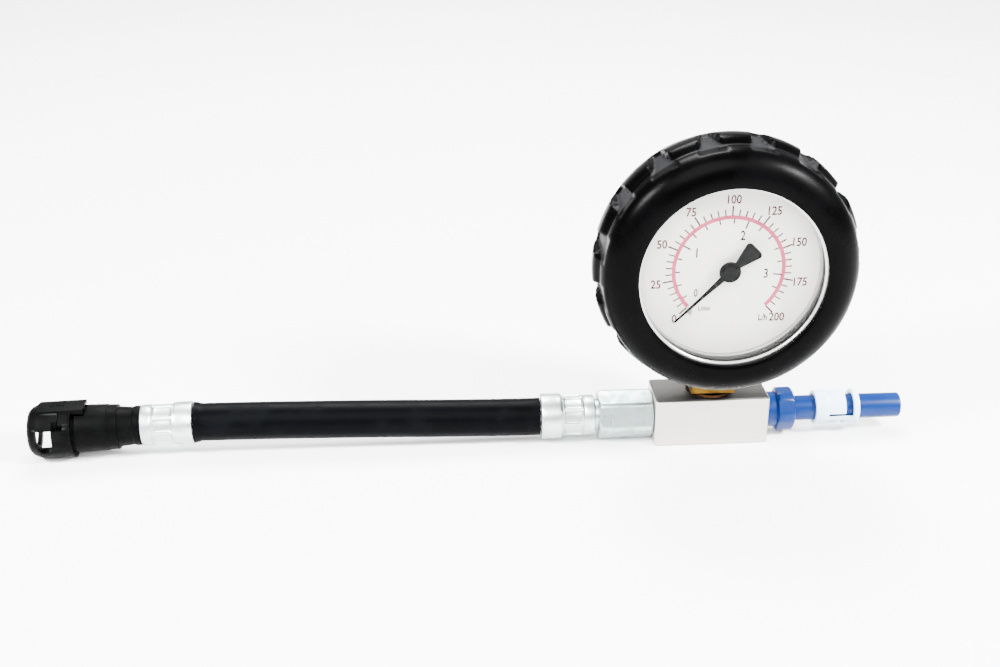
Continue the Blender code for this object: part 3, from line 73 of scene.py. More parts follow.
def aim_camera():
    level = cos(CAMERA_ELEVATION)
    forward = Vector((sin(CAMERA_AZIMUTH) * level, cos(CAMERA_AZIMUTH) * level,
                      -sin(CAMERA_ELEVATION)))
    right = Vector((cos(CAMERA_AZIMUTH), -sin(CAMERA_AZIMUTH), 0))
    right = Matrix.Rotation(CAMERA_ROLL, 3, -forward) @ right
    up = right.cross(forward)
    camera = new_object("camera", bpy.data.cameras.new("camera"))
    camera.data.lens = LENS
    turn = Matrix((right, up, -forward)).transposed().to_4x4()
    camera.matrix_world = Matrix.Translation(CAMERA_TARGET - forward * CAMERA_DISTANCE) @ turn
    bpy.context.scene.camera = camera


aim_camera()

# %% [markdown]
# ## Formulas as finishes
# A finish is a pattern: where is the zinc dull, how deep is a scratch. Patterns are sums of node
# values, and long chains of math nodes are hard to read. So one small class wraps a socket and
# gives it Python's operators: `rough * 0.2 + 0.3` then adds the nodes by itself. The same class
# serves the geometry trees below.

# %% Socket maths


class Signal:
    """A node's socket that takes part in sums."""

    def __init__(self, tree, socket):
        self.tree = tree
        self.socket = socket

    def __add__(self, other):
        return compute("ADD", self, other)

    def __sub__(self, other):
        return compute("SUBTRACT", self, other)

    def __rsub__(self, other):
        return compute("SUBTRACT", other, self)

    def __mul__(self, other):
        return compute("MULTIPLY", self, other)

    def __truediv__(self, other):
        return compute("DIVIDE", self, other)

    def __rtruediv__(self, other):
        return compute("DIVIDE", other, self)

    __radd__ = __add__
    __rmul__ = __mul__


def compute(operation, *values):
    """A math node on signals and plain numbers."""
    tree = next(value.tree for value in values if isinstance(value, Signal))
    return add(tree, "ShaderNodeMath", {"operation": operation}, dict(enumerate(values)))


def add(tree, kind, settings=None, inputs=None, output=0):
    """Add a node: first its settings, then a value or a link for each socket."""
    node = tree.nodes.new(kind)
    for name, value in (settings or {}).items():
        setattr(node, name, value)
    for key, value in (inputs or {}).items():
        if isinstance(value, Signal):
            tree.links.new(value.socket, node.inputs[key])
        else:
            node.inputs[key].default_value = value
    return Signal(tree, node.outputs[output])


def split(vector):
    """The x, y and z of a vector."""
    first = add(vector.tree, "ShaderNodeSeparateXYZ", None, {0: vector})
    return [Signal(vector.tree, output) for output in first.socket.node.outputs]


def combine(tree, *parts):
    return add(tree, "ShaderNodeCombineXYZ", None, dict(enumerate(parts)))


def step(signal, low, high):
    """0 below low, 1 above high, and smooth between them; low may be above high."""
    return add(signal.tree, "ShaderNodeMapRange", {"interpolation_type": "SMOOTHSTEP"},
               {"Value": signal, "From Min": low, "From Max": high})


# %% [markdown]
# Grain, smears and tool marks are all noise, at different sizes and stretched differently. Object
# coordinates keep a pattern at its true size on every piece. A finish has its constants on the
# shader's own sockets, and only what varies over the surface is linked.

# %% Patterns and finishes


def own_place(tree):
    return add(tree, "ShaderNodeTexCoord", output="Object")


def noise(tree, feature, detail=2.0, stretch=(1, 1, 1), offset=0.0):
    """Noise whose blobs are about one feature long, a length in metres, longer where stretched."""
    scale = tuple(1 / (feature * longer) for longer in stretch)
    place = add(tree, "ShaderNodeMapping", None,
                {"Vector": own_place(tree), "Scale": scale, "Location": (offset,) * 3})
    return add(tree, "ShaderNodeTexNoise", None, {"Vector": place, "Scale": 1.0, "Detail": detail})


def cells(tree, feature):
    """Distance from the middle of random cells, each about one feature wide."""
    return add(tree, "ShaderNodeTexVoronoi", None,
               {"Vector": own_place(tree), "Scale": 1 / feature})


def tint(factor, first, second):
    """From the first colour to the second as the factor goes from 0 to 1."""
    colors = [value if isinstance(value, Signal) else (*value, 1) for value in (first, second)]
    return add(factor.tree, "ShaderNodeMix", {"data_type": "RGBA"},
               {0: factor, 6: colors[0], 7: colors[1]}, output=2)


def new_finish(name, **constants):
    """A material with its constants set; words joined by _ are the socket's name."""
    material = bpy.data.materials.new(name)
    material.use_nodes = True
    shader = material.node_tree.nodes["Principled BSDF"]
    for key, value in constants.items():
        shader.inputs[key.replace("_", " ")].default_value = value
    return material, material.node_tree


def link(material, socket, signal):
    shader = material.node_tree.nodes["Principled BSDF"]
    material.node_tree.links.new(signal.socket, shader.inputs[socket])


def emboss(material, height, depth):
    """Raise the surface where height is 1, by depth metres, in the shading only."""
    link(material, "Normal", add(height.tree, "ShaderNodeBump", None,
                                 {"Strength": 1.0, "Distance": depth, "Height": height}))


def surface(material, color, roughness, height, depth):
    """Link what varies on nearly every finish: its colour, its roughness and its relief."""
    link(material, "Base Color", color)
    link(material, "Roughness", roughness)
    emboss(material, height, depth)
    return material


# %% [markdown]
# ## Shaping helpers
# Nearly every piece here was turned on a lathe or moulded round an axis. So the main helper spins
# a closed profile of (place along the axis, radius) points. Real edges are never razor sharp, and
# a small rounding catches the light, so a second helper rounds the profile's corners first.

# %% Shaping


def rounded(corners, radius, steps=3):
    """The closed outline with round corners. A third number is a corner's own rounding."""
    points = []
    for index, corner in enumerate(corners):
        here = Vector(corner[:2])
        before = Vector(corners[index - 1][:2]) - here
        after = Vector(corners[(index + 1) % len(corners)][:2]) - here
        own = corner[2] if len(corner) > 2 else radius
        opening = before.angle(after)
        if own <= 0 or opening > radians(175):
            points.append(tuple(here))
            continue
        reach = min(own / tan(opening / 2), 0.48 * before.length, 0.48 * after.length)
        start = here + before.normalized() * reach
        end = here + after.normalized() * reach
        for count in range(steps + 1):
            t = count / steps
            points.append(tuple(start * (1 - t) ** 2 + here * 2 * t * (1 - t) + end * t * t))
    return points


def make_piece(name, body, place, finish, sharp=30):
    """Turn a bmesh into an object whose place is in its mesh."""
    bmesh.ops.remove_doubles(body, verts=body.verts, dist=1e-7)
    bmesh.ops.transform(body, matrix=place, verts=body.verts)
    bmesh.ops.recalc_face_normals(body, faces=body.faces)
    mesh = bpy.data.meshes.new(name)
    body.to_mesh(mesh)
    body.free()
    mesh.shade_smooth()
    mesh.set_sharp_from_angle(angle=radians(sharp))
    if finish is not None:
        mesh.materials.append(finish)
    return new_object(name, mesh)


def turned(name, profile, place, finish, columns=96, sharp=30):
    """Spin a closed profile round its axis; a radius may be a function of the angle."""
    body = bmesh.new()
    rings = []
    for along, radius in profile:
        ring = []
        for column in range(columns):
            angle = TURN * column / columns
            reach = radius(angle) if callable(radius) else radius
            ring.append(body.verts.new((reach * cos(angle), reach * sin(angle), along)))
        rings.append(ring)
    for first, second in zip(rings, rings[1:] + rings[:1]):
        for column in range(columns):
            after = (column + 1) % columns
            body.faces.new((first[column], first[after], second[after], second[column]))
    return make_piece(name, body, place, finish, sharp)


def extruded(name, outline, bottom, top, place, finish):
    body = bmesh.new()
    lower = [body.verts.new((x, y, bottom)) for x, y in outline]
    upper = [body.verts.new((x, y, top)) for x, y in outline]
    body.faces.new(lower)
    body.faces.new(upper)
    for index in range(len(outline)):
        after = (index + 1) % len(outline)
        body.faces.new((lower[index], lower[after], upper[after], upper[index]))
    return make_piece(name, body, place, finish)


def box(name, low, high, place, finish=None):
    outline = [(low[0], low[1]), (high[0], low[1]), (high[0], high[1]), (low[0], high[1])]
    return extruded(name, outline, low[2], high[2], place, finish)


def between(a, b, c, d, t):
    """The place at share t from b to c, on a smooth curve through all four points."""
    return 0.5 * (2 * b + (c - a) * t + (2 * a - 5 * b + 4 * c - d) * t * t
                  + (3 * b - a - 3 * c + d) * t ** 3)


def arc(center, radius, start, end, steps):
    angles = [start + (end - start) * count / steps for count in range(steps + 1)]
    return [(center[0] + radius * cos(a), center[1] + radius * sin(a)) for a in angles]


def final_mesh(thing):
    ready = thing.evaluated_get(bpy.context.evaluated_depsgraph_get())
    return bpy.data.meshes.new_from_object(ready)


def settle(piece, sharp=30):
    """Make the piece's modifiers part of its mesh."""
    mesh = final_mesh(piece)
    piece.modifiers.clear()
    piece.data = mesh
    mesh.shade_smooth()
    mesh.set_sharp_from_angle(angle=radians(sharp))
    return piece


def cut(piece, cutter, operation="DIFFERENCE"):
    boolean = piece.modifiers.new("cut", "BOOLEAN")
    boolean.operation = operation
    boolean.object = cutter
    settle(piece)
    bpy.data.objects.remove(cutter, do_unlink=True)


def soften(piece, width):
    """Round the sharp edges of a flat-sided piece."""
    bevel = piece.modifiers.new("soften", "BEVEL")
    bevel.width = width
    bevel.segments = 2
    bevel.limit_method = "ANGLE"
    return settle(piece)


def seat(piece, body, slot, *nodes):
    """Let a piece ride on its body and hide the solids that it stands for; slot is not used."""
    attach(piece, body)
    if nodes:
        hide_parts(*nodes)


def dress(finish, *nodes):
    """Give solids that keep their own shape a finish."""
    for node in nodes:
        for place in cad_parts[node].material_slots:
            place.material = finish


def stand_at(point, attitude):
    return Matrix.Translation(point) @ Euler(attitude).to_matrix().to_4x4()


# %% [markdown]
# ## The places
# Four axes carry everything: the gauge's, facing the reader; the outlet's, to the right; the
# inlet's, to the left; and the quick connector's, which lies on the bench a little tilted at the
# hose's end. On each, z is the piece's own axis.

# %% Axes of the pieces
FLOW_HEIGHT = 8 * MM
BLOCK_END = 18 * MM
GAUGE_HEIGHT = 63.5 * MM
GAUGE_TWIST = radians(-1)
CONNECTOR_TILT = radians(1.5)
INLET_FERRULE_LENGTH = 15.9 * MM
HOSE_END = Vector((-162, 0, 10)) * MM

GAUGE = stand_at((0, 0, GAUGE_HEIGHT), (pi / 2, 0, GAUGE_TWIST))
OUTLET = stand_at((BLOCK_END, 0, FLOW_HEIGHT), (pi / 2, 0, pi / 2))
INLET = stand_at((-BLOCK_END, 0, FLOW_HEIGHT), (pi / 2, 0, -pi / 2))
connector_foot = HOSE_END - Vector((GAP + INLET_FERRULE_LENGTH * cos(CONNECTOR_TILT), 0,
                                    INLET_FERRULE_LENGTH * sin(CONNECTOR_TILT)))
CONNECTOR = stand_at(connector_foot, (pi / 2 + CONNECTOR_TILT, 0, -pi / 2))

# %% [markdown]
# ## The hose
# Fuel hose is extruded rubber: dull, nearly black, with faint lines along it and a little grey
# bloom. It is a cord here: one smooth curve with its real length between the two ferrules. The
# curve gets a round bevel, and its last stretch swells where the ferrule squeezes the rubber out.

# %% Hose rubber and hose
HOSE_DIAMETER = 11.9 * MM
HOSE_STEPS = 72
HOSE_POINTS = [
    (-54.0, 8.0), (-62.0, 8.0), (-74.0, 8.2), (-88.0, 8.55), (-103.0, 9.0),
    (-118.0, 9.35), (-132.0, 9.65), (-145.0, 9.85), (-154.0, 9.95), (-162.0, 10.0),
]
LIP_LENGTH = 1.8 * MM
LIP_SWELL = 0.09


def hose_rubber():
    material, tree = new_finish("hose rubber", Specular_IOR_Level=0.016)
    lines = noise(tree, 0.5 * MM, 3, (30, 1, 1))
    bloom = step(noise(tree, 9 * MM, 4), 0.45, 0.8)
    return surface(material, tint(bloom, (0.0002, 0.0003, 0.0005), (0.0008, 0.001, 0.0014)),
                   bloom * 0.16 + lines * 0.12 + 0.36,
                   lines + noise(tree, 0.25 * MM, 2) * 0.5, 0.03 * MM)


def smooth_line(points, steps):
    """A smooth curve through the points, read at even steps."""
    knots = [Vector((x, 0, z)) * MM for x, z in points]
    knots = [knots[0] * 2 - knots[1]] + knots + [knots[-1] * 2 - knots[-2]]
    spans = len(points) - 1
    line = []
    for count in range(steps + 1):
        place = min(count * spans / steps, spans - 1e-9)
        first = int(place)
        line.append(between(*knots[first:first + 4], place - first))
    return line


def make_hose():
    curve = bpy.data.curves.new("fuel_hose", "CURVE")
    curve.dimensions = "3D"
    curve.bevel_depth = HOSE_DIAMETER / 2
    curve.bevel_resolution = 14
    curve.use_fill_caps = True
    line = smooth_line(HOSE_POINTS, HOSE_STEPS)
    spline = curve.splines.new("POLY")
    spline.points.add(len(line) - 1)
    for point, place in zip(spline.points, line):
        point.co = (*place, 1)
        inside = min(1, max(0, 1 - (place - line[-1]).length / LIP_LENGTH))
        point.radius = 1 + LIP_SWELL * sin(inside * pi / 2)
    spline.use_smooth = True
    curve.materials.append(hose_rubber())
    hose = new_object("fuel_hose", curve)
    length = sum((b - a).length for a, b in zip(line, line[1:]))
    print(f"hose: {length / MM:.1f} mm long")
    return hose, line[0], length


hose, hose_exit, hose_length = make_hose()
seat(hose, "meter", "hose_rubber", "hose")

# %% [markdown]
# ## Zinc-plated fittings
# The nipple and the two ferrules are steel with bright zinc. New zinc is bluish white and silky,
# with duller clouds and fine scratches from the plating drum. The hexagon is milled, so its flats
# have marks across them. The ferrules were squeezed by eight jaws, which leaves eight flats.

# %% Zinc finish


def zinc(name, bright, dull, roughness):
    material, tree = new_finish(name, Metallic=1.0)
    clouds = step(noise(tree, 4 * MM, 4), 0.35, 0.75)
    marks = noise(tree, 0.35 * MM, 3, (1, 8, 8))
    pits = step(cells(tree, 0.9 * MM), 0.12, 0.0)
    # Painted shade: hollows and creases, found by the mesh's pointiness, are tinted dark like
    # shadowed crevices.
    corner = step(add(tree, "ShaderNodeNewGeometry", output="Pointiness"), 0.49, 0.42)
    shade = tint(pits * 0.5, tint(clouds, bright, dull), (0.30, 0.31, 0.28))
    return surface(material, tint(corner * 0.8, shade, (0.06, 0.065, 0.06)),
                   clouds * 0.18 + marks * 0.14 + roughness,
                   marks + clouds * 0.4 - pits * 0.6, 0.02 * MM)


nipple_zinc = zinc("nipple zinc", (0.44, 0.53, 0.52), (0.24, 0.30, 0.29), 0.2)
ferrule_zinc = zinc("ferrule zinc", (0.60, 0.66, 0.65), (0.32, 0.37, 0.36), 0.2)

# %% Hexagon nipple
HEX_FLATS = 14 * MM
HEX_LENGTH = 17.2 * MM
HEX_TURN = radians(-12)     # the top flat leans to the front
TAIL_ROOT = 3.1 * MM
TAIL_BORE = 1.7 * MM
TAIL_BARB = 3.7 * MM
HEX_CORNER = 0.35 * MM      # how much the corners are rounded off
NECK_RADIUS = 5 * MM
THREAD_RADIUS = 4.8 * MM
FERRULE_FOOT = GAP + HEX_LENGTH + 1.2 * MM
BLOCK_FERRULE_LENGTH = 17 * MM


def hexagon(flats, limit, turn):
    """Radius of a hexagon with a flat on top, its corners rounded and cut off at a limit."""
    def radius(angle):
        from_flat = (angle - pi / 2 - turn + pi / 6) % (pi / 3) - pi / 6
        reach = flats / 2 / cos(from_flat)
        return min(reach, limit, flats / 2 / cos(pi / 6) - HEX_CORNER)
    return radius


def hex_rows(start, end, flats, limits, depths, turn=0.0):
    """A hexagon whose corners are cut off towards its two ends: limits are (share, radius)."""
    return ([(start + share * depths[0], hexagon(flats, limit, turn)) for share, limit in limits]
            + [(end - share * depths[1], hexagon(flats, limit, turn))
               for share, limit in reversed(limits)])


def threaded_end(bore):
    """The end that screws into the block, up to the block's face."""
    return [(-8.2 * MM, bore), (-8.2 * MM, 4.3 * MM), (-7.6 * MM, THREAD_RADIUS),
            (GAP, THREAD_RADIUS)]


def barbs(start, end, count):
    """Saw teeth of a hose tail, which keep the hose from pulling off."""
    pitch = (end - start) / count
    rows = []
    for index in range(count):
        foot = start + index * pitch
        rows += [(foot, TAIL_ROOT), (foot + 0.25 * pitch, TAIL_ROOT),
                 (foot + 0.3 * pitch, TAIL_BARB)]
    return rows + [(end, TAIL_ROOT)]


def make_nipple():
    end = GAP + HEX_LENGTH
    tail_end = FERRULE_FOOT + BLOCK_FERRULE_LENGTH - 1.5 * MM
    corner = HEX_FLATS / 2 / cos(pi / 6)
    depth = 1.1 * MM
    chamfer = [(share, corner - (corner - HEX_FLATS / 2 + 0.2 * MM) * (1 - share) ** 1.5)
               for share in (0, 0.15, 0.3, 0.5, 0.75, 1)]
    rows = threaded_end(TAIL_BORE)
    rows += hex_rows(GAP, end, HEX_FLATS, chamfer, (depth, depth), HEX_TURN)
    rows += [(end, NECK_RADIUS), (FERRULE_FOOT - GAP, NECK_RADIUS), (FERRULE_FOOT - GAP, TAIL_ROOT)]
    rows += barbs(FERRULE_FOOT + 2.2 * MM, tail_end, 3)
    rows += [(tail_end, TAIL_BORE)]
    return turned("nipple_hexagon", rows, INLET, nipple_zinc, 144, 22)


seat(make_nipple(), "meter", "zinc", "hose_nipple")

# %% Crimped ferrules
COLLAR_RADIUS = 6.4 * MM
CRIMP_FLAT = 5.9 * MM
CRIMP_RIDGE = 6.5 * MM
CRIMP_LENGTH = 6.2 * MM
FERRULE_BORE = 5.0 * MM
FERRULE_HOLE = 3.7 * MM     # in the closed end, round the tail
FERRULE_WALL = 1.2 * MM
JAWS = 8


def jaw_marks(base, depth):
    """Radius of a sleeve with a shallow bed under each jaw and a ridge between two jaws."""
    def radius(angle):
        across = JAWS * angle / TURN % 1 - 0.5
        bed = min(1, max(0, (0.44 - abs(across)) / 0.09))
        flat = 0.12 * MM * (1 - cos(across * TURN / JAWS * 4))
        return base - depth * bed * bed * (3 - 2 * bed) + flat * bed
    return radius


def make_ferrule(name, length, sleeve, sleeve_length, place, finish):
    collar = length - sleeve_length - CRIMP_LENGTH
    crimp_end = collar + CRIMP_LENGTH
    depth = CRIMP_RIDGE - CRIMP_FLAT
    outside = rounded([
        (0, FERRULE_HOLE), (0, COLLAR_RADIUS), (collar - 0.9 * MM, COLLAR_RADIUS),
        (collar - 0.5 * MM, CRIMP_RIDGE - 0.35 * MM), (collar, CRIMP_RIDGE - 0.1 * MM)],
        0.35 * MM)[:-1]
    outside = [row for row in outside if row[0] < collar]
    crimp = [(collar + CRIMP_LENGTH * share, jaw_marks(CRIMP_RIDGE, depth * press))
             for share, press in ((0.0, 0), (0.05, 0.5), (0.1, 0.95), (0.16, 1), (0.5, 1),
                                  (0.84, 1), (0.9, 0.95), (0.95, 0.5), (1.0, 0))]
    mouth = rounded([
        (crimp_end + 0.1 * MM, CRIMP_RIDGE, 0), (crimp_end + 0.8 * MM, sleeve - 0.1 * MM, 0.8 * MM),
        (length - 0.9 * MM, sleeve), (length, sleeve, 0.5 * MM), (length, FERRULE_BORE),
        (FERRULE_WALL, FERRULE_BORE), (FERRULE_WALL, FERRULE_HOLE)], 0.2 * MM)
    return turned(name, outside + crimp + mouth, place, finish, 128, 35)


block_ferrule_place = INLET @ Matrix.Translation((0, 0, FERRULE_FOOT))
seat(make_ferrule("block_side_ferrule", BLOCK_FERRULE_LENGTH, 7.25 * MM, 7 * MM,
                  block_ferrule_place, ferrule_zinc), "meter", "ferrule_zinc", "block_ferrule")
inlet_ferrule_place = CONNECTOR @ Matrix.Rotation(pi, 4, "Y")
inlet_ferrule = make_ferrule("connector_side_ferrule", INLET_FERRULE_LENGTH, 6.75 * MM, 6 * MM,
                             inlet_ferrule_place, ferrule_zinc)
seat(inlet_ferrule, "meter", "ferrule_zinc", "inlet_ferrule")

# %% [markdown]
# ## The quick connector
# It is one moulding of black glass-filled nylon. The body is turned from its rounded profile, and
# then cut as the real mould's cores do it: the latch's slot, the seat under the press pad, the
# catch windows, and a shield-shaped view slot that one can look through. Glass-filled nylon is
# dull, with a fine grain. The body's corners go grey where it is handled. That wear is found by
# how sharp the mesh is at each point, so it needs fine faces. The button has a few large ones,
# and its own finish has almost no wear.

# %% Connector nylon
CONNECTOR_NECK = 7.1 * MM
CONNECTOR_BARREL = 12.4 * MM
NECK_RADIUS_AT_BARREL = 6.3 * MM
BARREL_RADIUS = 7.5 * MM    # at the head; it tapers to the neck
BARREL_TAPER = 0.5 * MM
HEAD_START = CONNECTOR_NECK + CONNECTOR_BARREL + 1.2 * MM
HEAD_END = HEAD_START + 13.3 * MM
HEAD_RADIUS = 8.7 * MM
SOCKET_RADIUS = 6 * MM
CHAMBER_START = HEAD_START - 11.8 * MM
LATCH_START = HEAD_START + GAP
LATCH_LENGTH = 3 * MM
LATCH_HALF = 6.6 * MM
LATCH_REACH = 3 * MM
PAD_HALF = 3.6 * MM
PAD_RADIUS = 9 * MM         # the pad is curved like the head
PAD_UNDER = PAD_RADIUS - 1.2 * MM
PAD_START = HEAD_START - 3.9 * MM
PAD_END = PAD_START + 14 * MM
PRESS_TRAVEL = 1 * MM
VIEW_SLOT_TOP = 3.6 * MM
VIEW_SLOT_FOOT = -4 * MM
VIEW_SLOT_HALF = 2.5 * MM


def glass_filled_nylon(name, wear):
    material, tree = new_finish(name, Specular_IOR_Level=0.016)
    grain = noise(tree, 0.22 * MM, 4)
    smears = step(noise(tree, 6 * MM, 3), 0.4, 0.75)
    rubbed = step(add(tree, "ShaderNodeNewGeometry", output="Pointiness"), 0.52, 0.6)
    dark = tint(smears, (0.0003, 0.00035, 0.00035), (0.0008, 0.0009, 0.0009))
    return surface(material, tint(rubbed * wear, dark, (0.014, 0.0145, 0.015)),
                   grain * 0.14 + smears * 0.1 + 0.38, grain, 0.035 * MM)


connector_nylon = glass_filled_nylon("connector nylon", 0.6)
button_nylon = glass_filled_nylon("button nylon", 0.02)


def crown(radius, half, center=0.0, steps=16):
    """The top stretch of a circle, from the right to the left, as wide as twice half."""
    lean = asin(half / radius)
    return arc((0, center), radius, pi / 2 - lean, pi / 2 + lean, steps)


def make_connector():
    neck = NECK_RADIUS_AT_BARREL - 0.4 * MM
    small = BARREL_RADIUS - BARREL_TAPER
    groove = BARREL_RADIUS - 0.7 * MM
    barrel_end = CONNECTOR_NECK + CONNECTOR_BARREL
    tail = [(-z, radius) for z, radius in reversed(barbs(2.6 * MM, 15 * MM, 3))]
    outside = rounded([
        (0.4 * MM, TAIL_ROOT, 0), (0.4 * MM, neck + 0.3 * MM), (2.0 * MM, neck + 0.3 * MM),
        (2.5 * MM, neck), (CONNECTOR_NECK, NECK_RADIUS_AT_BARREL, 0.15 * MM),
        (CONNECTOR_NECK, small, 0.4 * MM), (CONNECTOR_NECK + 3 * MM, small + 0.1 * MM, 0),
        (CONNECTOR_NECK + 3.1 * MM, small + 0.25 * MM, 0), (barrel_end, BARREL_RADIUS),
        (barrel_end, groove), (HEAD_START, groove),
        (HEAD_START, HEAD_RADIUS, 0.5 * MM), (HEAD_END - 3.4 * MM, HEAD_RADIUS, 3 * MM),
        (HEAD_END - 0.9 * MM, HEAD_RADIUS - 1.1 * MM, 1 * MM),
        (HEAD_END, SOCKET_RADIUS + 0.7 * MM, 0.1 * MM), (HEAD_END, SOCKET_RADIUS + 0.2 * MM, 0),
        (HEAD_END - 1.2 * MM, SOCKET_RADIUS, 0), (CHAMBER_START, SOCKET_RADIUS, 0),
        (CHAMBER_START, 4.3 * MM, 0), (CHAMBER_START - 3 * MM, 4.3 * MM, 0),
        (CHAMBER_START - 3 * MM, TAIL_BORE, 0), (-15 * MM, TAIL_BORE, 0)], 0.2 * MM, 4)
    body = turned("connector_shell", outside + tail, CONNECTOR, connector_nylon, 128)
    far = HEAD_RADIUS + 2 * MM
    half = PAD_HALF + GAP
    bed = crown(PAD_UNDER, half, -PRESS_TRAVEL - GAP) + [(-half, far), (half, far)]
    cut(body, extruded("pad_seat", bed, PAD_START - GAP, PAD_END + GAP, CONNECTOR, None))
    slot = LATCH_HALF + GAP
    cut(body, box("latch_slot", (-slot, -LATCH_REACH - PRESS_TRAVEL - GAP, LATCH_START),
                  (slot, far, LATCH_START + LATCH_LENGTH + 2 * GAP), CONNECTOR))
    catch = LATCH_START + LATCH_LENGTH / 2 + GAP
    for near, outer in ((SOCKET_RADIUS + 0.2 * MM, far), (-far, -SOCKET_RADIUS - 0.2 * MM)):
        cut(body, box("catch_window", (near, 3.4 * MM, catch), (outer, 6.3 * MM, catch + 3.4 * MM),
                      CONNECTOR))
    half = VIEW_SLOT_HALF
    middle = HEAD_END - 2.6 * MM - half
    shield = [(half, VIEW_SLOT_TOP), (-half, VIEW_SLOT_TOP), (-half, 0.25 * VIEW_SLOT_FOOT)]
    shield += arc((0, VIEW_SLOT_FOOT + 0.8 * half), 0.8 * half, pi, TURN, 16)
    shield += [(half, 0.25 * VIEW_SLOT_FOOT)]
    sideways = Matrix.Translation((0, 0, middle)) @ Matrix.Rotation(pi / 2, 4, "Y")
    cut(body, extruded("front_view", shield, 0, far, CONNECTOR @ sideways, None))
    cut(body, box("rear_view", (-far, -far, middle - half), (0, VIEW_SLOT_TOP, HEAD_END - 1.3 * MM),
                  CONNECTOR))
    return soften(body, 0.12 * MM)


connector = make_connector()
seat(connector, "meter", "black_nylon", "connector_body")

# %% [markdown]
# The release button is a press pad with fine grip ribs on top, and two latch legs below that reach
# round the bore. The ribs are one bar, repeated along the pad by a geometry tree.

# %% Geometry trees


def new_rule(name, sizes):
    """A geometry tree with one named input for each size, and those inputs as signals."""
    tree = bpy.data.node_groups.new(name, "GeometryNodeTree")
    tree.interface.new_socket("Geometry", in_out="OUTPUT", socket_type="NodeSocketGeometry")
    tree.interface.new_socket("Geometry", in_out="INPUT", socket_type="NodeSocketGeometry")
    for label, value in sizes.items():
        kind = "NodeSocketInt" if isinstance(value, int) else "NodeSocketFloat"
        socket = tree.interface.new_socket(label, in_out="INPUT", socket_type=kind)
        socket.default_value = value
    given = tree.nodes.new("NodeGroupInput")
    return tree, {output.name: Signal(tree, output) for output in given.outputs if output.name}


def end_rule(tree, shape, finish):
    real = add(tree, "GeometryNodeRealizeInstances", None, {"Geometry": shape})
    painted = add(tree, "GeometryNodeSetMaterial", None, {"Geometry": real, "Material": finish})
    tree.links.new(painted.socket, tree.nodes.new("NodeGroupOutput").inputs[0])


def follow_rule(piece, tree, finish, sizes, sharp=30):
    """Run the tree on the piece with these sizes, and keep the result as its mesh."""
    modifier = piece.modifiers.new(tree.name, "NODES")
    modifier.node_group = tree
    for item in tree.interface.items_tree:
        if item.name in sizes:
            modifier[item.identifier] = sizes[item.name]
    settle(piece, sharp)
    if not piece.data.materials:
        piece.data.materials.append(finish)
    return piece


def blank(name):
    return new_object(name, bpy.data.meshes.new(name))


# %% Grip ribs
RIBS = {"Count": 5, "Pitch": 0.9 * MM, "Length": 2.6 * MM, "Width": 0.4 * MM, "Height": 0.3 * MM}


def rib_rule(finish):
    tree, size = new_rule("grip ribs", RIBS)
    row = add(tree, "GeometryNodeMeshLine", None,
              {"Count": size["Count"], "Offset": combine(tree, 0, 0, size["Pitch"])})
    bar = add(tree, "GeometryNodeMeshCube", None,
              {"Size": combine(tree, size["Length"], size["Height"], size["Width"])})
    end_rule(tree, add(tree, "GeometryNodeInstanceOnPoints", None,
                       {"Points": row, "Instance": bar}), finish)
    return tree


def make_button():
    outline = crown(PAD_RADIUS, PAD_HALF) + crown(PAD_UNDER, PAD_HALF)[::-1]
    pad = extruded("press_pad", outline, PAD_START, PAD_END, CONNECTOR, button_nylon)
    ramp = [(-PAD_START + 1 * MM, PAD_UNDER), (-PAD_START, PAD_UNDER + 0.6 * MM),
            (-PAD_START - 2.4 * MM, PAD_RADIUS + 0.1 * MM),
            (-PAD_START + 1 * MM, HEAD_RADIUS + 2 * MM)]
    turn = Matrix.Rotation(pi / 2, 4, "Y")
    cut(pad, extruded("pad_ramp", ramp, -HEAD_RADIUS, HEAD_RADIUS, CONNECTOR @ turn, None))
    shoulder = HEAD_RADIUS - 2.6 * MM
    inside = LATCH_HALF - 1.9 * MM
    legs = [(-LATCH_HALF, -LATCH_REACH), (-LATCH_HALF, shoulder - 1.2 * MM),
            (-LATCH_HALF + 1.6 * MM, shoulder + 0.4 * MM),
            (-PAD_HALF + 0.6 * MM, PAD_UNDER + 0.1 * MM)]
    legs += [(-x, y) for x, y in reversed(legs)]
    legs += [(inside, -LATCH_REACH)] + arc((0, 0.6 * MM), inside, 0, pi, 24)
    legs += [(-inside, -LATCH_REACH)]
    low = LATCH_START + GAP
    cut(pad, extruded("latch_legs", legs, low, low + LATCH_LENGTH, CONNECTOR, None), "UNION")
    soften(pad, 0.25 * MM)
    ribs = follow_rule(blank("pad_grip_ribs"), rib_rule(button_nylon), button_nylon, RIBS)
    run = RIBS["Pitch"] * (RIBS["Count"] - 1)
    foot = Matrix.Translation((0, PAD_RADIUS, PAD_START + 8 * MM - run / 2))
    ribs.data.transform(CONNECTOR @ foot)
    return pad, ribs


button, ribs = make_button()
seat(button, "button", "button_nylon", "release_button")
seat(ribs, "button", "button_nylon")

# %% Seal solids, listed with the connector's pieces
seal_nodes = [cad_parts[name] for name in ("seal_ring_1", "seal_ring_2", "seal_spacer",
                                                "pin_guide_bush")]
[inlet_ferrule, connector, button, ribs] + seal_nodes

# %% [markdown]
# ## Blue nylon and the milky clip
# The outlet spigot is unfilled nylon, dyed right through: deep, a little waxy, and glossy where
# the mould was polished. Light goes some way into the clip's natural nylon, so it gets subsurface
# scattering, and its thin walls look cool and milky.

# %% Nylon finishes
SHANK_RADIUS = 4 * MM


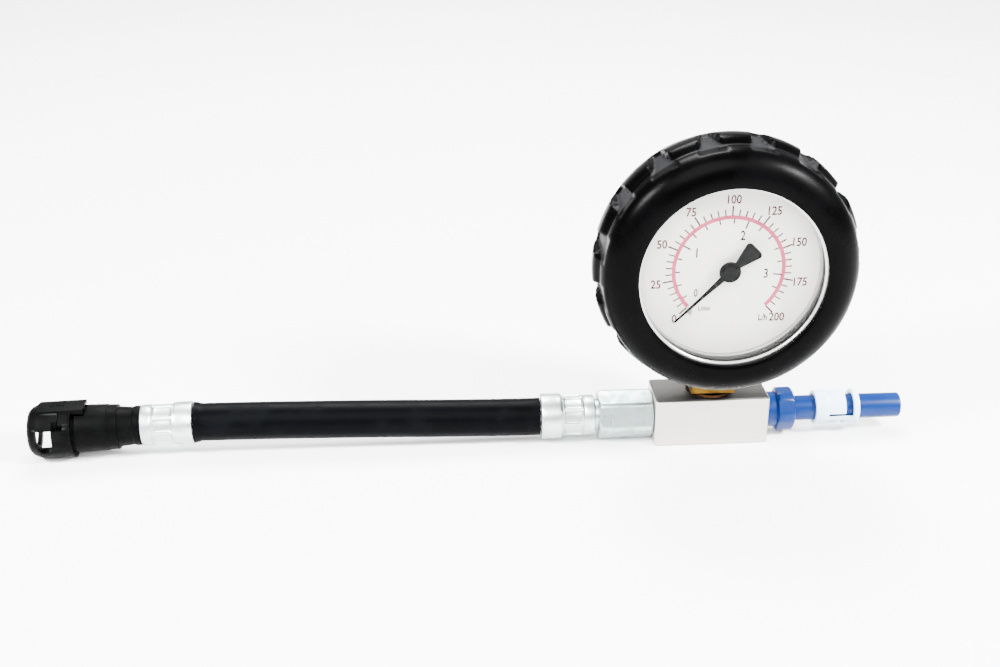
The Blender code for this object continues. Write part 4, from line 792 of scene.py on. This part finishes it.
def dyed_nylon():
    material, tree = new_finish("blue nylon", Specular_IOR_Level=0.1, Coat_Roughness=0.2)
    flow = noise(tree, 7 * MM, 3, (3, 1, 1))
    grain = noise(tree, 0.4 * MM, 2)
    link(material, "Coat Weight", step(flow, 0.3, 0.8) * 0.2)
    return surface(material, tint(flow, (0.0, 0.006, 0.045), (0.0, 0.018, 0.11)),
                   flow * 0.12 + grain * 0.06 + 0.26, grain, 0.012 * MM)


def natural_nylon():
    material, tree = new_finish("natural nylon", Subsurface_Weight=0.5, Subsurface_Scale=1.5 * MM,
                                Subsurface_Radius=(0.7, 0.9, 1.0), Specular_IOR_Level=0.5)
    cloud = noise(tree, 3 * MM, 3)
    return surface(material, tint(cloud, (0.52, 0.66, 0.82), (0.72, 0.82, 0.92)),
                   cloud * 0.14 + 0.24, noise(tree, 0.5 * MM, 2), 0.015 * MM)


blue_nylon = dyed_nylon()
milky_nylon = natural_nylon()

# %% Spigot
SPIGOT_COLLAR_END = GAP + 3.4 * MM
SPIGOT_HEX_END = SPIGOT_COLLAR_END + 5.6 * MM
CLIP_START = SPIGOT_HEX_END + 7 * MM
CLIP_END = CLIP_START + 14 * MM
SPIGOT_END = CLIP_END + 14.1 * MM
SPIGOT_FLATS = 13 * MM
SPIGOT_BORE = 2.2 * MM


def make_spigot():
    rows = threaded_end(SPIGOT_BORE)
    rows += rounded([(GAP, 4.9 * MM, 0), (GAP, 5.6 * MM), (SPIGOT_COLLAR_END, 5.6 * MM, 0.1 * MM),
                     (SPIGOT_COLLAR_END, 5.5 * MM, 0)], 0.3 * MM)[1:-1]
    chamfer = [(share, 6.9 * MM - 0.9 * MM * (1 - share) ** 2) for share in (0, 0.2, 0.5, 1)]
    rows += hex_rows(SPIGOT_COLLAR_END, SPIGOT_HEX_END, SPIGOT_FLATS, chamfer,
                     (0.7 * MM, 0.9 * MM))
    bead = CLIP_START + 4.8 * MM
    rows += rounded([
        (SPIGOT_HEX_END, SHANK_RADIUS, 0), (bead - 0.6 * MM, SHANK_RADIUS),
        (bead, 4.1 * MM), (bead + 1.6 * MM, 4.1 * MM), (bead + 2.6 * MM, SHANK_RADIUS),
        (SPIGOT_END, SHANK_RADIUS - 0.05 * MM, 1.1 * MM), (SPIGOT_END, SPIGOT_BORE, 0.2 * MM)],
        0.3 * MM, 6)
    return turned("blue_spigot", rows, OUTLET, blue_nylon, 120, 28)


seat(make_spigot(), "meter", "spigot_nylon", "outlet_spigot")

# %% Retaining clip
CLIP_RADIUS = 5.6 * MM
CLIP_BORE = 4.4 * MM
CLIP_RING = 3.6 * MM
CLIP_LIP = 1.8 * MM
CLIP_GAP = 2.6 * MM
CLIP_SLIT = 5.5 * MM


def make_clip():
    waist = CLIP_RADIUS - 0.25 * MM
    clip = turned("milky_clip", rounded([
        (CLIP_START, CLIP_BORE, 0), (CLIP_START, CLIP_RADIUS - 0.1 * MM),
        (CLIP_START + CLIP_RING, CLIP_RADIUS), (CLIP_START + CLIP_RING + 0.4 * MM, waist),
        (CLIP_END - CLIP_LIP - 0.4 * MM, waist), (CLIP_END - CLIP_LIP, CLIP_RADIUS),
        (CLIP_END, CLIP_RADIUS), (CLIP_END, CLIP_BORE, 0)], 0.3 * MM), OUTLET, milky_nylon, 96)
    wide = CLIP_RADIUS + 1 * MM
    gap_end = CLIP_END - CLIP_LIP
    gap = gap_end - CLIP_GAP
    slit = gap - CLIP_SLIT
    cuts = [
        ((-wide, -1.2 * MM, gap), (wide, wide, gap_end)),
        ((-wide, -1.2 * MM, slit), (wide, 0.0, gap_end)),
        ((-wide, -wide, gap - 2.6 * MM), (wide, -2.6 * MM, gap)),
        ((-wide, -3.1 * MM, slit), (wide, -2.6 * MM, gap)),
    ]
    for low, high in cuts:
        cut(clip, box("clip_core", low, high, OUTLET))
    return clip


seat(make_clip(), "meter", "clip_white", "spigot_clip")

# %% [markdown]
# ## The block and the brass
# The block is cut from drawn bar and fly-cut on its faces, which leaves fine parallel lines along
# it, and its top face is painted dark as shade, for it lies under the boot. Its solid is already
# right, so it only gets a finish. The same holds for the brass socket, which shows as a short
# square shank between the block and the boot; its brass is painted near black as shade. Satin
# steel is for the ring on the dial, which would mirror too much if it were bright.

# %% Machined metals
BLOCK_HEIGHT = 16 * MM


def milled_aluminium():
    material, tree = new_finish("milled aluminium", Metallic=1.0)
    lines = noise(tree, 0.14 * MM, 3, (60, 1, 1))
    coarse = noise(tree, 0.5 * MM, 2, (40, 1, 1), 3.0)
    cloud = noise(tree, 7 * MM, 3)
    nicks = step(cells(tree, 2.2 * MM), 0.07, 0.0)
    shade = tint(lines * 0.6 + coarse * 0.4, (0.50, 0.48, 0.46), (0.80, 0.77, 0.74))
    height = split(own_place(tree))[2]
    # Painted shade: the top face is tinted far darker than the sides, as the shade it lies in under
    # the boot; the milling lines still run through it.
    top = step(height, BLOCK_HEIGHT - 0.5 * MM, BLOCK_HEIGHT - 0.3 * MM)
    painted_top_shade = tint(lines * 0.7 + cloud * 0.3, (0.010, 0.0095, 0.009), (0.12, 0.115, 0.11))
    shade = tint(top, shade, painted_top_shade)
    return surface(material, tint(nicks * 0.5, shade, (0.45, 0.43, 0.41)),
                   lines * 0.2 + cloud * 0.12 + 0.34, lines + coarse * 0.8 - nicks, 0.02 * MM)


def yellow_metal(name, light, dark, roughness, feature=0.3 * MM):
    material, tree = new_finish(name, Metallic=1.0)
    marks = noise(tree, feature, 3, (8, 8, 1))
    tarnish = step(noise(tree, 5 * MM, 4), 0.4, 0.8)
    return surface(material, tint(tarnish, light, dark),
                   marks * 0.15 + tarnish * 0.2 + roughness, marks, 0.012 * MM)


def bright_steel(name, roughness):
    material, tree = new_finish(name, Metallic=1.0)
    lines = noise(tree, 0.2 * MM, 3, (6, 1, 6))
    cloud = noise(tree, 6 * MM, 3)
    return surface(material, tint(cloud, (0.36, 0.36, 0.355), (0.56, 0.56, 0.55)),
                   lines * 0.14 + cloud * 0.08 + roughness, lines, 0.001 * MM)


brass = yellow_metal("movement brass", (0.78, 0.55, 0.22), (0.50, 0.33, 0.11), 0.2, 0.15 * MM)
# Painted shade: the socket's brass is darkened to near black, as the shade it lies in under the
# boot.
shaded_socket_brass = yellow_metal("shaded socket brass", (0.07, 0.038, 0.006), (0.015, 0.008, 0.002), 0.3)
copper = yellow_metal("oiled copper", (0.03, 0.014, 0.006), (0.01, 0.005, 0.003), 0.4)
steel = bright_steel("bright steel", 0.2)
satin_steel = bright_steel("satin steel", 0.38)
screw_steel = bright_steel("screw steel", 0.26)
dress(milled_aluminium(), "block")
dress(shaded_socket_brass, "gauge_socket")
dress(copper, "stem_washer")
dress(brass, "jet", "pressure_tube", "tube_tip", "link", "sector_gear", "pinion",
      "movement_back_plate", "movement_front_plate", "movement_pillar_1", "movement_pillar_2")
dress(screw_steel, "hairspring", "movement_screw_left", "movement_screw_right",
      "case_screw_left", "case_screw_right")
dress(blue_nylon, "seal_spacer", "pin_guide_bush")

# %% [markdown]
# ## The grip boot
# The boot is the meter's face: a thick moulded ring, smooth in front and cut by sixteen tapered
# grooves round its shoulder. Its shape follows a rule, so the ring is turned plain and a geometry
# tree presses the grooves in: each point asks how far it is from the nearest groove's middle, and
# moves down to the groove's floor if it is inside. The groove narrows to the back and ends there
# in a soft ramp.

# %% Boot rubber
# Where the groove floors are painted lighter, as if lit from above.
LIT_GROOVE_RADII = (38.3 * MM, 37.9 * MM)      # no painted light above, full painted light below
LIT_GROOVE_FRONT = (-16.5 * MM, -15.5 * MM)
LIT_GROOVE_BACK = (-4.5 * MM, -6 * MM)


def boot_rubber():
    material, tree = new_finish("boot rubber", Specular_IOR_Level=0.016)
    grain = noise(tree, 0.3 * MM, 3)
    smears = step(noise(tree, 14 * MM, 4), 0.42, 0.72)
    x, depth, z = split(own_place(tree))
    height = z - GAUGE_HEIGHT
    radius = compute("SQRT", x * x + height * height)
    # Painted light: the groove floors are tinted light grey, as where they catch the light from
    # above.
    groove = step(radius, *LIT_GROOVE_RADII) * step(depth, *LIT_GROOVE_FRONT) * step(depth, *LIT_GROOVE_BACK)
    painted_groove_light = groove * (0.6 + grain * 0.4)
    black = tint(smears, (0.0001, 0.0001, 0.00013), (0.0004, 0.0004, 0.0005))
    return surface(material, tint(painted_groove_light, black, (0.010, 0.0103, 0.0112)),
                   smears * 0.1 + grain * 0.06 + painted_groove_light * 0.2 + 0.22, grain + smears * 0.3, 0.02 * MM)


# %% Boot
LIP_RADIUS = 38.2 * MM
LIP_ROOT = 17.8 * MM        # where the rounded front reaches its full radius
BOOT_FRONT = 25 * MM
FRONT_RING = 29.6 * MM
BOOT_OPENING = 27.6 * MM
BOOT_CAVITY = 31.4 * MM
BOOT_BACK = -11.4 * MM
BOOT_INSIDE_BACK = -9.9 * MM
BOOT_LEDGE = 23.8 * MM      # the front lip's inner face
BACK_HOLE = 26 * MM
STEM_HOLE_HALF = 7.6 * MM
CREST = [(17.2, 38.1), (16.6, 37.95), (16.0, 38.0), (15.2, 38.5), (14.2, 39.2), (13.0, 39.7),
         (11.5, 39.85), (9.5, 39.75), (7.5, 39.4), (5.0, 38.7), (2.5, 37.8), (0.0, 36.8),
         (-3.0, 35.7), (-6.0, 34.8), (-8.5, 34.0), (-10.8, 33.2)]   # (along, radius) in mm
CREST_STEP = 0.5 * MM
GROOVE_COUNT = 16
COLUMNS_PER_GROOVE = 28
GROOVES = {
    "Grooves": float(GROOVE_COUNT), "Floor": 37.6 * MM, "Front": 15.5 * MM, "Back": 6 * MM,
    "End": 4.4 * MM, "Front half width": 3.4 * MM, "Back half width": 1.6 * MM,
    "Edge": 0.55 * MM,
}


def groove_rule(finish):
    tree, size = new_rule("grip grooves", GROOVES)
    x, y, z = split(add(tree, "GeometryNodeInputPosition"))
    radius = compute("SQRT", x * x + y * y)
    angle = compute("ARCTAN2", y, x)
    pitch = TURN / size["Grooves"]
    lane = (angle - pi / 2) / pitch + 4 * GROOVE_COUNT     # kept above zero
    across = compute("FRACT", lane) - 0.5
    across = compute("ABSOLUTE", across) * pitch * radius
    taper = (z - size["Back"]) / (size["Front"] - size["Back"])
    taper = compute("MAXIMUM", taper, 0)
    width = size["Back half width"] + taper * (size["Front half width"] - size["Back half width"])
    inside = step(across, width + size["Edge"], width - size["Edge"])
    inside = inside * step(z, size["End"] - 1 * MM, size["End"] + 1.2 * MM)
    excess = radius - size["Floor"]
    shrink = 1 - inside * compute("MAXIMUM", excess, 0) / radius
    given = next(node for node in tree.nodes if node.type == "GROUP_INPUT")
    shape = add(tree, "GeometryNodeSetPosition", None,
                {"Geometry": Signal(tree, given.outputs[0]),
                 "Position": combine(tree, x * shrink, y * shrink, z)})
    end_rule(tree, shape, finish)
    return tree


def boot_profile():
    """The ring's closed section, close-set where the grooves will bend it."""
    bulge = LIP_RADIUS - FRONT_RING
    depth = BOOT_FRONT - LIP_ROOT
    front = [(LIP_ROOT + depth * cos(a), FRONT_RING + bulge * sin(a))
             for a in (radians(angle) for angle in range(0, 91, 5))]
    knots = [Vector((z, radius)) * MM for z, radius in CREST]
    side = []
    for here in zip([knots[0]] + knots, knots, knots[1:], knots[2:] + [knots[-1]]):
        count = max(1, round((here[2] - here[1]).length / CREST_STEP))
        side += [tuple(between(*here, part / count)) for part in range(count)]
    inside = rounded([
        (*knots[-1], 0), (BOOT_BACK, 32.4 * MM, 0.5 * MM), (BOOT_BACK, BACK_HOLE, 0.4 * MM),
        (BOOT_INSIDE_BACK, BACK_HOLE, 0.3 * MM), (BOOT_INSIDE_BACK, BOOT_CAVITY, 0),
        (BOOT_LEDGE, BOOT_CAVITY, 0), (BOOT_LEDGE, BOOT_OPENING, 0),
        (BOOT_FRONT - 0.5 * MM, BOOT_OPENING, 0),
        (BOOT_FRONT, BOOT_OPENING + 0.7 * MM, 0)], 0.3 * MM)
    return front + side + inside


def make_boot():
    finish = boot_rubber()
    here = Matrix.Identity(4)
    columns = GROOVE_COUNT * COLUMNS_PER_GROOVE
    boot = turned("grip_boot", boot_profile(), here, finish, columns, 60)
    follow_rule(boot, groove_rule(finish), finish, GROOVES, 60)
    half = STEM_HOLE_HALF
    cut(boot, box("stem_hole", (-half, -43 * MM, -half), (half, -25 * MM, half), here))
    boot.data.transform(GAUGE)
    settle(boot, 50)
    print("boot faces:", len(boot.data.polygons))
    return boot


seat(make_boot(), "meter", "boot_rubber", "rubber_boot")

# %% [markdown]
# ## Rings and window
# Under the clear window lie a bright bezel, a thin black gasket and a bright ring that stands on
# the dial. They are turned again from rounded profiles, because their edges catch the light as
# two fine circles. The window is a shell of clear plastic: it mixes a see-through shader with a
# glossy one by a Fresnel factor, so that it lets the dial's light through undimmed.

# %% Window assembly
CASE_RADIUS = 31 * MM
CASE_MOUTH = 18.6 * MM
SIGHT_RADIUS = 26.9 * MM
DIAL_FACE = 16.5 * MM
DIAL_RADIUS = 28.6 * MM
GASKET_BACK = CASE_MOUTH + GAP
GASKET_FRONT = GASKET_BACK + 1.4 * MM
WINDOW_BACK = GASKET_FRONT + GAP
WINDOW_FRONT = WINDOW_BACK + 1.8 * MM
BEZEL_FRONT = WINDOW_FRONT + GAP + 0.8 * MM
BEZEL_WALL = 29.8 * MM


def seal_rubber():
    material, tree = new_finish("seal rubber")
    grain = noise(tree, 0.4 * MM, 3)
    return surface(material, tint(grain, (0.008, 0.008, 0.008), (0.02, 0.02, 0.02)),
                   grain * 0.2 + 0.45, grain, 0.005 * MM)


def clear_window():
    material = bpy.data.materials.new("clear window")
    material.use_nodes = True
    tree = material.node_tree
    tree.nodes.remove(tree.nodes["Principled BSDF"])
    clear = add(tree, "ShaderNodeBsdfTransparent", None, {"Color": (0.985, 0.99, 0.985, 1)})
    gloss = add(tree, "ShaderNodeBsdfGlossy", None, {"Roughness": 0.02})
    edge = add(tree, "ShaderNodeFresnel", None, {"IOR": 1.1})
    mixed = add(tree, "ShaderNodeMixShader", None, {0: edge, 1: clear, 2: gloss})
    tree.links.new(mixed.socket, tree.nodes["Material Output"].inputs["Surface"])
    return material


rubber = seal_rubber()
dress(rubber, "seal_ring_1", "seal_ring_2", "blowout_plug")
bezel = turned("bezel_ring", rounded([
    (CASE_MOUTH + GAP, BEZEL_WALL), (CASE_MOUTH + GAP, CASE_RADIUS), (BEZEL_FRONT, CASE_RADIUS),
    (BEZEL_FRONT, SIGHT_RADIUS, 0.35 * MM), (BEZEL_FRONT - 0.8 * MM, SIGHT_RADIUS),
    (BEZEL_FRONT - 0.8 * MM, BEZEL_WALL)], 0.15 * MM), GAUGE, steel, 192)
seat(bezel, "meter", "bezel_steel", "bezel")
gasket = turned("gasket_ring", rounded([
    (GASKET_BACK, SIGHT_RADIUS + 0.4 * MM), (GASKET_BACK, BEZEL_WALL - GAP),
    (GASKET_FRONT, BEZEL_WALL - GAP), (GASKET_FRONT, SIGHT_RADIUS + 0.4 * MM)], 0.3 * MM),
    GAUGE, rubber, 160)
seat(gasket, "meter", "seal_rubber", "window_gasket")
ring = turned("distance_ring", rounded([
    (DIAL_FACE + GAP, SIGHT_RADIUS), (DIAL_FACE + GAP, BEZEL_WALL), (CASE_MOUTH, BEZEL_WALL),
    (CASE_MOUTH, SIGHT_RADIUS)], 0.4 * MM), GAUGE, satin_steel, 192)
seat(ring, "meter", "bezel_steel", "dial_ring")
window_edge = min(29.6 * MM, BEZEL_WALL - GAP)
window = extruded("clear_window", arc((0, 0), window_edge, 0, TURN * 159 / 160, 159),
                  WINDOW_BACK, WINDOW_FRONT, GAUGE, clear_window())
seat(window, "meter", "window_clear", "window")

# %% [markdown]
# ## The printed dial
# The plate is white enamel with a red arc, fine brown ticks and plain numbers. Print has almost
# no height, but a mesh keeps its edges sharp at any distance, so ticks, arc and numbers are thin
# plates just clear of the dial. Ticks repeat by a rule, so they come from one geometry tree with
# a count, a radius and an angle step.

# %% Dial finishes
PRINT_BASE = DIAL_FACE + 0.02 * MM
PRINT_HEIGHT = 0.04 * MM


def enamel(name, light, dark, roughness, shine=0.5):
    material, tree = new_finish(name, Specular_IOR_Level=shine)
    tone = noise(tree, 12 * MM, 4)
    grain = noise(tree, 0.2 * MM, 2)
    return surface(material, tint(tone, light, dark),
                   grain * 0.12 + roughness, grain, 0.006 * MM)


dial_white = enamel("dial enamel", (0.90, 0.87, 0.84), (0.84, 0.81, 0.78), 0.5)
arc_red = enamel("arc ink", (0.46, 0.07, 0.13), (0.36, 0.05, 0.09), 0.5, 0.1)
ink_brown = enamel("scale ink", (0.08, 0.012, 0.018), (0.04, 0.008, 0.012), 0.5, 0.1)
ink_grey = enamel("unit ink", (0.035, 0.014, 0.017), (0.02, 0.009, 0.011), 0.5, 0.1)
pointer_paint = enamel("pointer paint", (0.0025, 0.0025, 0.0027), (0.005, 0.005, 0.0052), 0.45,
                       0.05)
case_enamel = enamel("case enamel", (0.003, 0.003, 0.0033), (0.007, 0.007, 0.0073), 0.35, 0.1)
dress(case_enamel, "gauge_case")

dial_profile = rounded([(DIAL_FACE - 0.6 * MM, 1.2 * MM), (DIAL_FACE - 0.6 * MM, DIAL_RADIUS),
                        (DIAL_FACE, DIAL_RADIUS), (DIAL_FACE, 1.2 * MM)], 0.1 * MM)
dial = turned("dial_plate", dial_profile, GAUGE, dial_white, 160)
seat(dial, "meter", "dial_white", "dial")

# %% Ticks and arc
ZERO = radians(225)    # the zero mark, counter-clockwise from the right
SWEEP = radians(270)
ARC_RADIUS = 16.3 * MM
ARC_WIDTH = 1.15 * MM
FULL_SCALE = 200
TICKS = {"Count": 41, "Radius": 17.8 * MM, "Length": 1.9 * MM, "Width": 0.4 * MM,
         "Height": PRINT_HEIGHT, "First": ZERO, "Step": SWEEP / 40}


def tick_rule(finish):
    tree, size = new_rule("scale ticks", TICKS)
    number = add(tree, "GeometryNodeInputIndex")
    angle = size["First"] - number * size["Step"]
    x = compute("COSINE", angle) * size["Radius"]
    y = compute("SINE", angle) * size["Radius"]
    row = add(tree, "GeometryNodePoints", None,
              {"Count": size["Count"], "Position": combine(tree, x, y)})
    bar = add(tree, "GeometryNodeMeshCube", None,
              {"Size": combine(tree, size["Length"], size["Width"], size["Height"])})
    turn = combine(tree, 0, 0, angle)
    end_rule(tree, add(tree, "GeometryNodeInstanceOnPoints", None,
                       {"Points": row, "Instance": bar, "Rotation": turn}), finish)
    return tree


def scale_angle(value):
    return ZERO - SWEEP * value / FULL_SCALE


scale_ticks = tick_rule(ink_brown)
INNER_ZERO = radians(229.5)
INNER_STEP = radians(78.8)
tick_rows = {
    "fine_ticks": {},
    "main_ticks": {"Count": 9, "Radius": 18.3 * MM, "Length": 3.0 * MM, "Width": 0.46 * MM,
                   "Step": SWEEP / 8},
    "inner_fine_ticks": {"Count": 16, "Radius": 15.1 * MM, "Length": 1.5 * MM,
                         "First": INNER_ZERO - INNER_STEP / 5, "Step": INNER_STEP / 5},
    "inner_main_ticks": {"Count": 3, "Radius": 14.6 * MM, "Length": 2.6 * MM, "Width": 0.42 * MM,
                         "First": INNER_ZERO - INNER_STEP, "Step": INNER_STEP},
}
print_place = GAUGE @ Matrix.Translation((0, 0, PRINT_BASE + PRINT_HEIGHT / 2))
for name, changes in tick_rows.items():
    ticks = follow_rule(blank(name), scale_ticks, ink_brown, TICKS | changes)
    ticks.data.transform(print_place)
    seat(ticks, "meter", "dial_white")

band = arc((0, 0), ARC_RADIUS + ARC_WIDTH / 2, ZERO - SWEEP, ZERO, 160)
band += arc((0, 0), ARC_RADIUS - ARC_WIDTH / 2, ZERO, ZERO - SWEEP, 160)
scale_arc = extruded("scale_arc", band, PRINT_BASE - 0.01 * MM, PRINT_BASE + 0.02 * MM, GAUGE,
                     arc_red)
seat(scale_arc, "meter", "dial_white")

# %% Numbers
LABEL_RADIUS = 21.8 * MM
INNER_LABEL_RADIUS = 11.2 * MM
CAP_SHARE = 0.7             # a capital's height as a share of the font's size
BOLDER = 0.025              # how far a letter's edge moves out, as a share of its height


def lettering(name, words, finish):
    """Words as thin plates: each is (text, x, y, height, width share)."""
    body = bmesh.new()
    for text, x, y, height, narrow in words:
        font = bpy.data.curves.new(name, "FONT")
        font.body = text
        font.size = height / CAP_SHARE
        font.align_x = "CENTER"
        font.extrude = PRINT_HEIGHT / 2
        font.offset = BOLDER * height
        font.resolution_u = 3
        word = new_object(name, font)
        mesh = final_mesh(word)
        mesh.transform(Matrix.Translation((x, y - height / 2, PRINT_BASE + PRINT_HEIGHT / 2))
                       @ Matrix.Diagonal((narrow, 1, 1, 1)))
        body.from_mesh(mesh)
        bpy.data.objects.remove(word, do_unlink=True)
    return make_piece(name, body, GAUGE, finish)


def around(text, angle, radius, height, narrow=0.84):
    return text, radius * cos(angle), radius * sin(angle), height, narrow


outer = [around(str(value), scale_angle(value), LABEL_RADIUS, 2.6 * MM)
         for value in range(0, FULL_SCALE + 1, 25)]
inner = [around(str(value), INNER_ZERO - INNER_STEP * value, INNER_LABEL_RADIUS, 2.9 * MM, 0.75)
         for value in (1, 2, 3)]
inner.append(("0", -9.4 * MM, -7.2 * MM, 2.4 * MM, 0.7))
units = [("L/h", 11.2 * MM, -15.5 * MM, 2.1 * MM, 0.75),
         ("L/min", -6.6 * MM, -12.2 * MM, 1.5 * MM, 0.75)]
numbers = lettering("outer_numbers", outer, ink_brown)
seat(numbers, "meter", "dial_white")
inner_numbers = lettering("inner_numbers", inner + units, ink_grey)
seat(inner_numbers, "meter", "dial_white")

# %% [markdown]
# ## The pointer
# A stamped pointer with a broad balancing tail, painted dark grey, on a turned hub. It rides on
# the body of the pinion, so it sweeps when the sector turns.

# %% Pointer and stop
POINTER_BACK = DIAL_FACE + 1.9 * MM
POINTER_THICKNESS = 0.6 * MM
POINTER_LENGTH = 22 * MM
HUB_RADIUS = 3.2 * MM
STOP_RADIUS = 17 * MM
STOP_PIN = 0.5 * MM
PINHOLE = 0.02 * MM         # a turned piece never quite reaches its own axis


def make_pointer():
    root, waist, tip, length = 0.85 * MM, 0.45 * MM, 0.24 * MM, POINTER_LENGTH
    start = asin(root / HUB_RADIUS)
    outline = [(0.5 * length, -waist), (length, -tip), (length + 0.2 * MM, 0), (length, tip),
               (0.5 * length, waist)]
    outline += arc((0, 0), HUB_RADIUS, start, pi - 0.34, 24)
    corner = 1.5 * MM
    tail, half = 10.4 * MM, 3.1 * MM
    outline += arc((corner - tail, half - corner), corner, 0.6 * pi, pi - 0.1, 6)
    outline += arc((corner - tail, corner - half), corner, pi + 0.1, 1.4 * pi, 6)
    outline += arc((0, 0), HUB_RADIUS, pi + 0.34, TURN - start, 24)
    place = GAUGE @ Matrix.Rotation(ZERO, 4, "Z")
    pointer = extruded("pointer_blade", outline, POINTER_BACK, POINTER_BACK + POINTER_THICKNESS,
                       place, pointer_paint)
    soften(pointer, 0.1 * MM)
    cap_foot = POINTER_BACK + POINTER_THICKNESS
    cap_top = cap_foot + 0.75 * MM
    hub = turned("pointer_hub", rounded([
        (cap_foot, PINHOLE, 0), (cap_foot, 2.3 * MM, 0), (cap_top, 2.0 * MM, 0.4 * MM),
        (cap_top, PINHOLE, 0)], 0.2 * MM), GAUGE, pointer_paint, 64)
    return pointer, hub


pointer, hub = make_pointer()
seat(pointer, "indicator", "pointer_grey", "pointer")
seat(hub, "indicator", "pointer_grey")

half_at_stop = 0.3 * MM + 0.8 * MM * (1 - STOP_RADIUS / POINTER_LENGTH)
stop_angle = ZERO + (half_at_stop + STOP_PIN + GAP) / STOP_RADIUS
stop_place = GAUGE @ Matrix.Translation((STOP_RADIUS * cos(stop_angle),
                                         STOP_RADIUS * sin(stop_angle), 0))
stop = turned("pointer_stop", rounded([
    (DIAL_FACE + GAP, PINHOLE, 0), (DIAL_FACE + GAP, 0.8 * MM), (DIAL_FACE + 0.7 * MM, 0.8 * MM),
    (DIAL_FACE + 0.8 * MM, STOP_PIN, 0), (POINTER_BACK + 1.2 * MM, STOP_PIN, 0.2 * MM),
    (POINTER_BACK + 1.2 * MM, PINHOLE, 0)], 0.1 * MM), stop_place, screw_steel, 32)
seat(stop, "meter", "screw_steel", "stop_pin")

# %% [markdown]
# ## Light and floor
# A white sweep under an even white sky, as for a catalogue. A broad sun from high in front lights
# the floor, the dial and the block's front, and its soft edge keeps the shadows faint. Black
# rubber shows only what it reflects, so three lamps are placed for the boot: a large one behind
# and above for its top, and a small one on each side for the streaks on its lip.

# %% Studio
SKY_STRENGTH = 1.6
FLOOR_HALF = 40             # metres, so that its edge is never seen
METER_MIDDLE = Vector((-0.03, 0, 0.04))
SOFT_LIGHTS = [             # name, place, width in metres, watts
    ("top light", (-0.1, 0.45, 0.75), 0.4, 30),
    ("right light", (0.5, -0.3, 0.5), 0.14, 40),
    ("left light", (-0.6, -0.3, 0.5), 0.14, 25),
]


def lamp(name, kind, direction, place=(0, 0, 0), **settings):
    """A lamp that shines in a direction, with settings such as its energy."""
    light = bpy.data.lights.new(name, kind)
    for key, value in settings.items():
        setattr(light, key, value)
    item = new_object(name, light)
    item.location = place
    item.rotation_euler = Vector(direction).to_track_quat("-Z", "Y").to_euler()


def make_floor():
    material, tree = new_finish("pale floor", Roughness=0.7)
    tone = noise(tree, 300 * MM, 2)
    link(material, "Base Color", tint(tone, (0.86, 0.86, 0.86), (0.88, 0.88, 0.88)))
    body = bmesh.new()
    bmesh.ops.create_grid(body, size=FLOOR_HALF)
    floor = make_piece("floor", body, Matrix.Identity(4), material)


def make_sky():
    world = bpy.data.worlds.new("studio")
    bpy.context.scene.world = world
    world.use_nodes = True
    sky = world.node_tree.nodes["Background"]
    sky.inputs["Color"].default_value = (1, 1, 1, 1)
    sky.inputs["Strength"].default_value = SKY_STRENGTH


make_sky()
lamp("high front light", "SUN", (0.2, 0.95, -1.0), energy=7, angle=radians(40))
for name, place, size, energy in SOFT_LIGHTS:
    lamp(name, "AREA", METER_MIDDLE - Vector(place), place, size=size, energy=energy)
make_floor()

# %% Update the scene
bpy.context.view_layer.update()
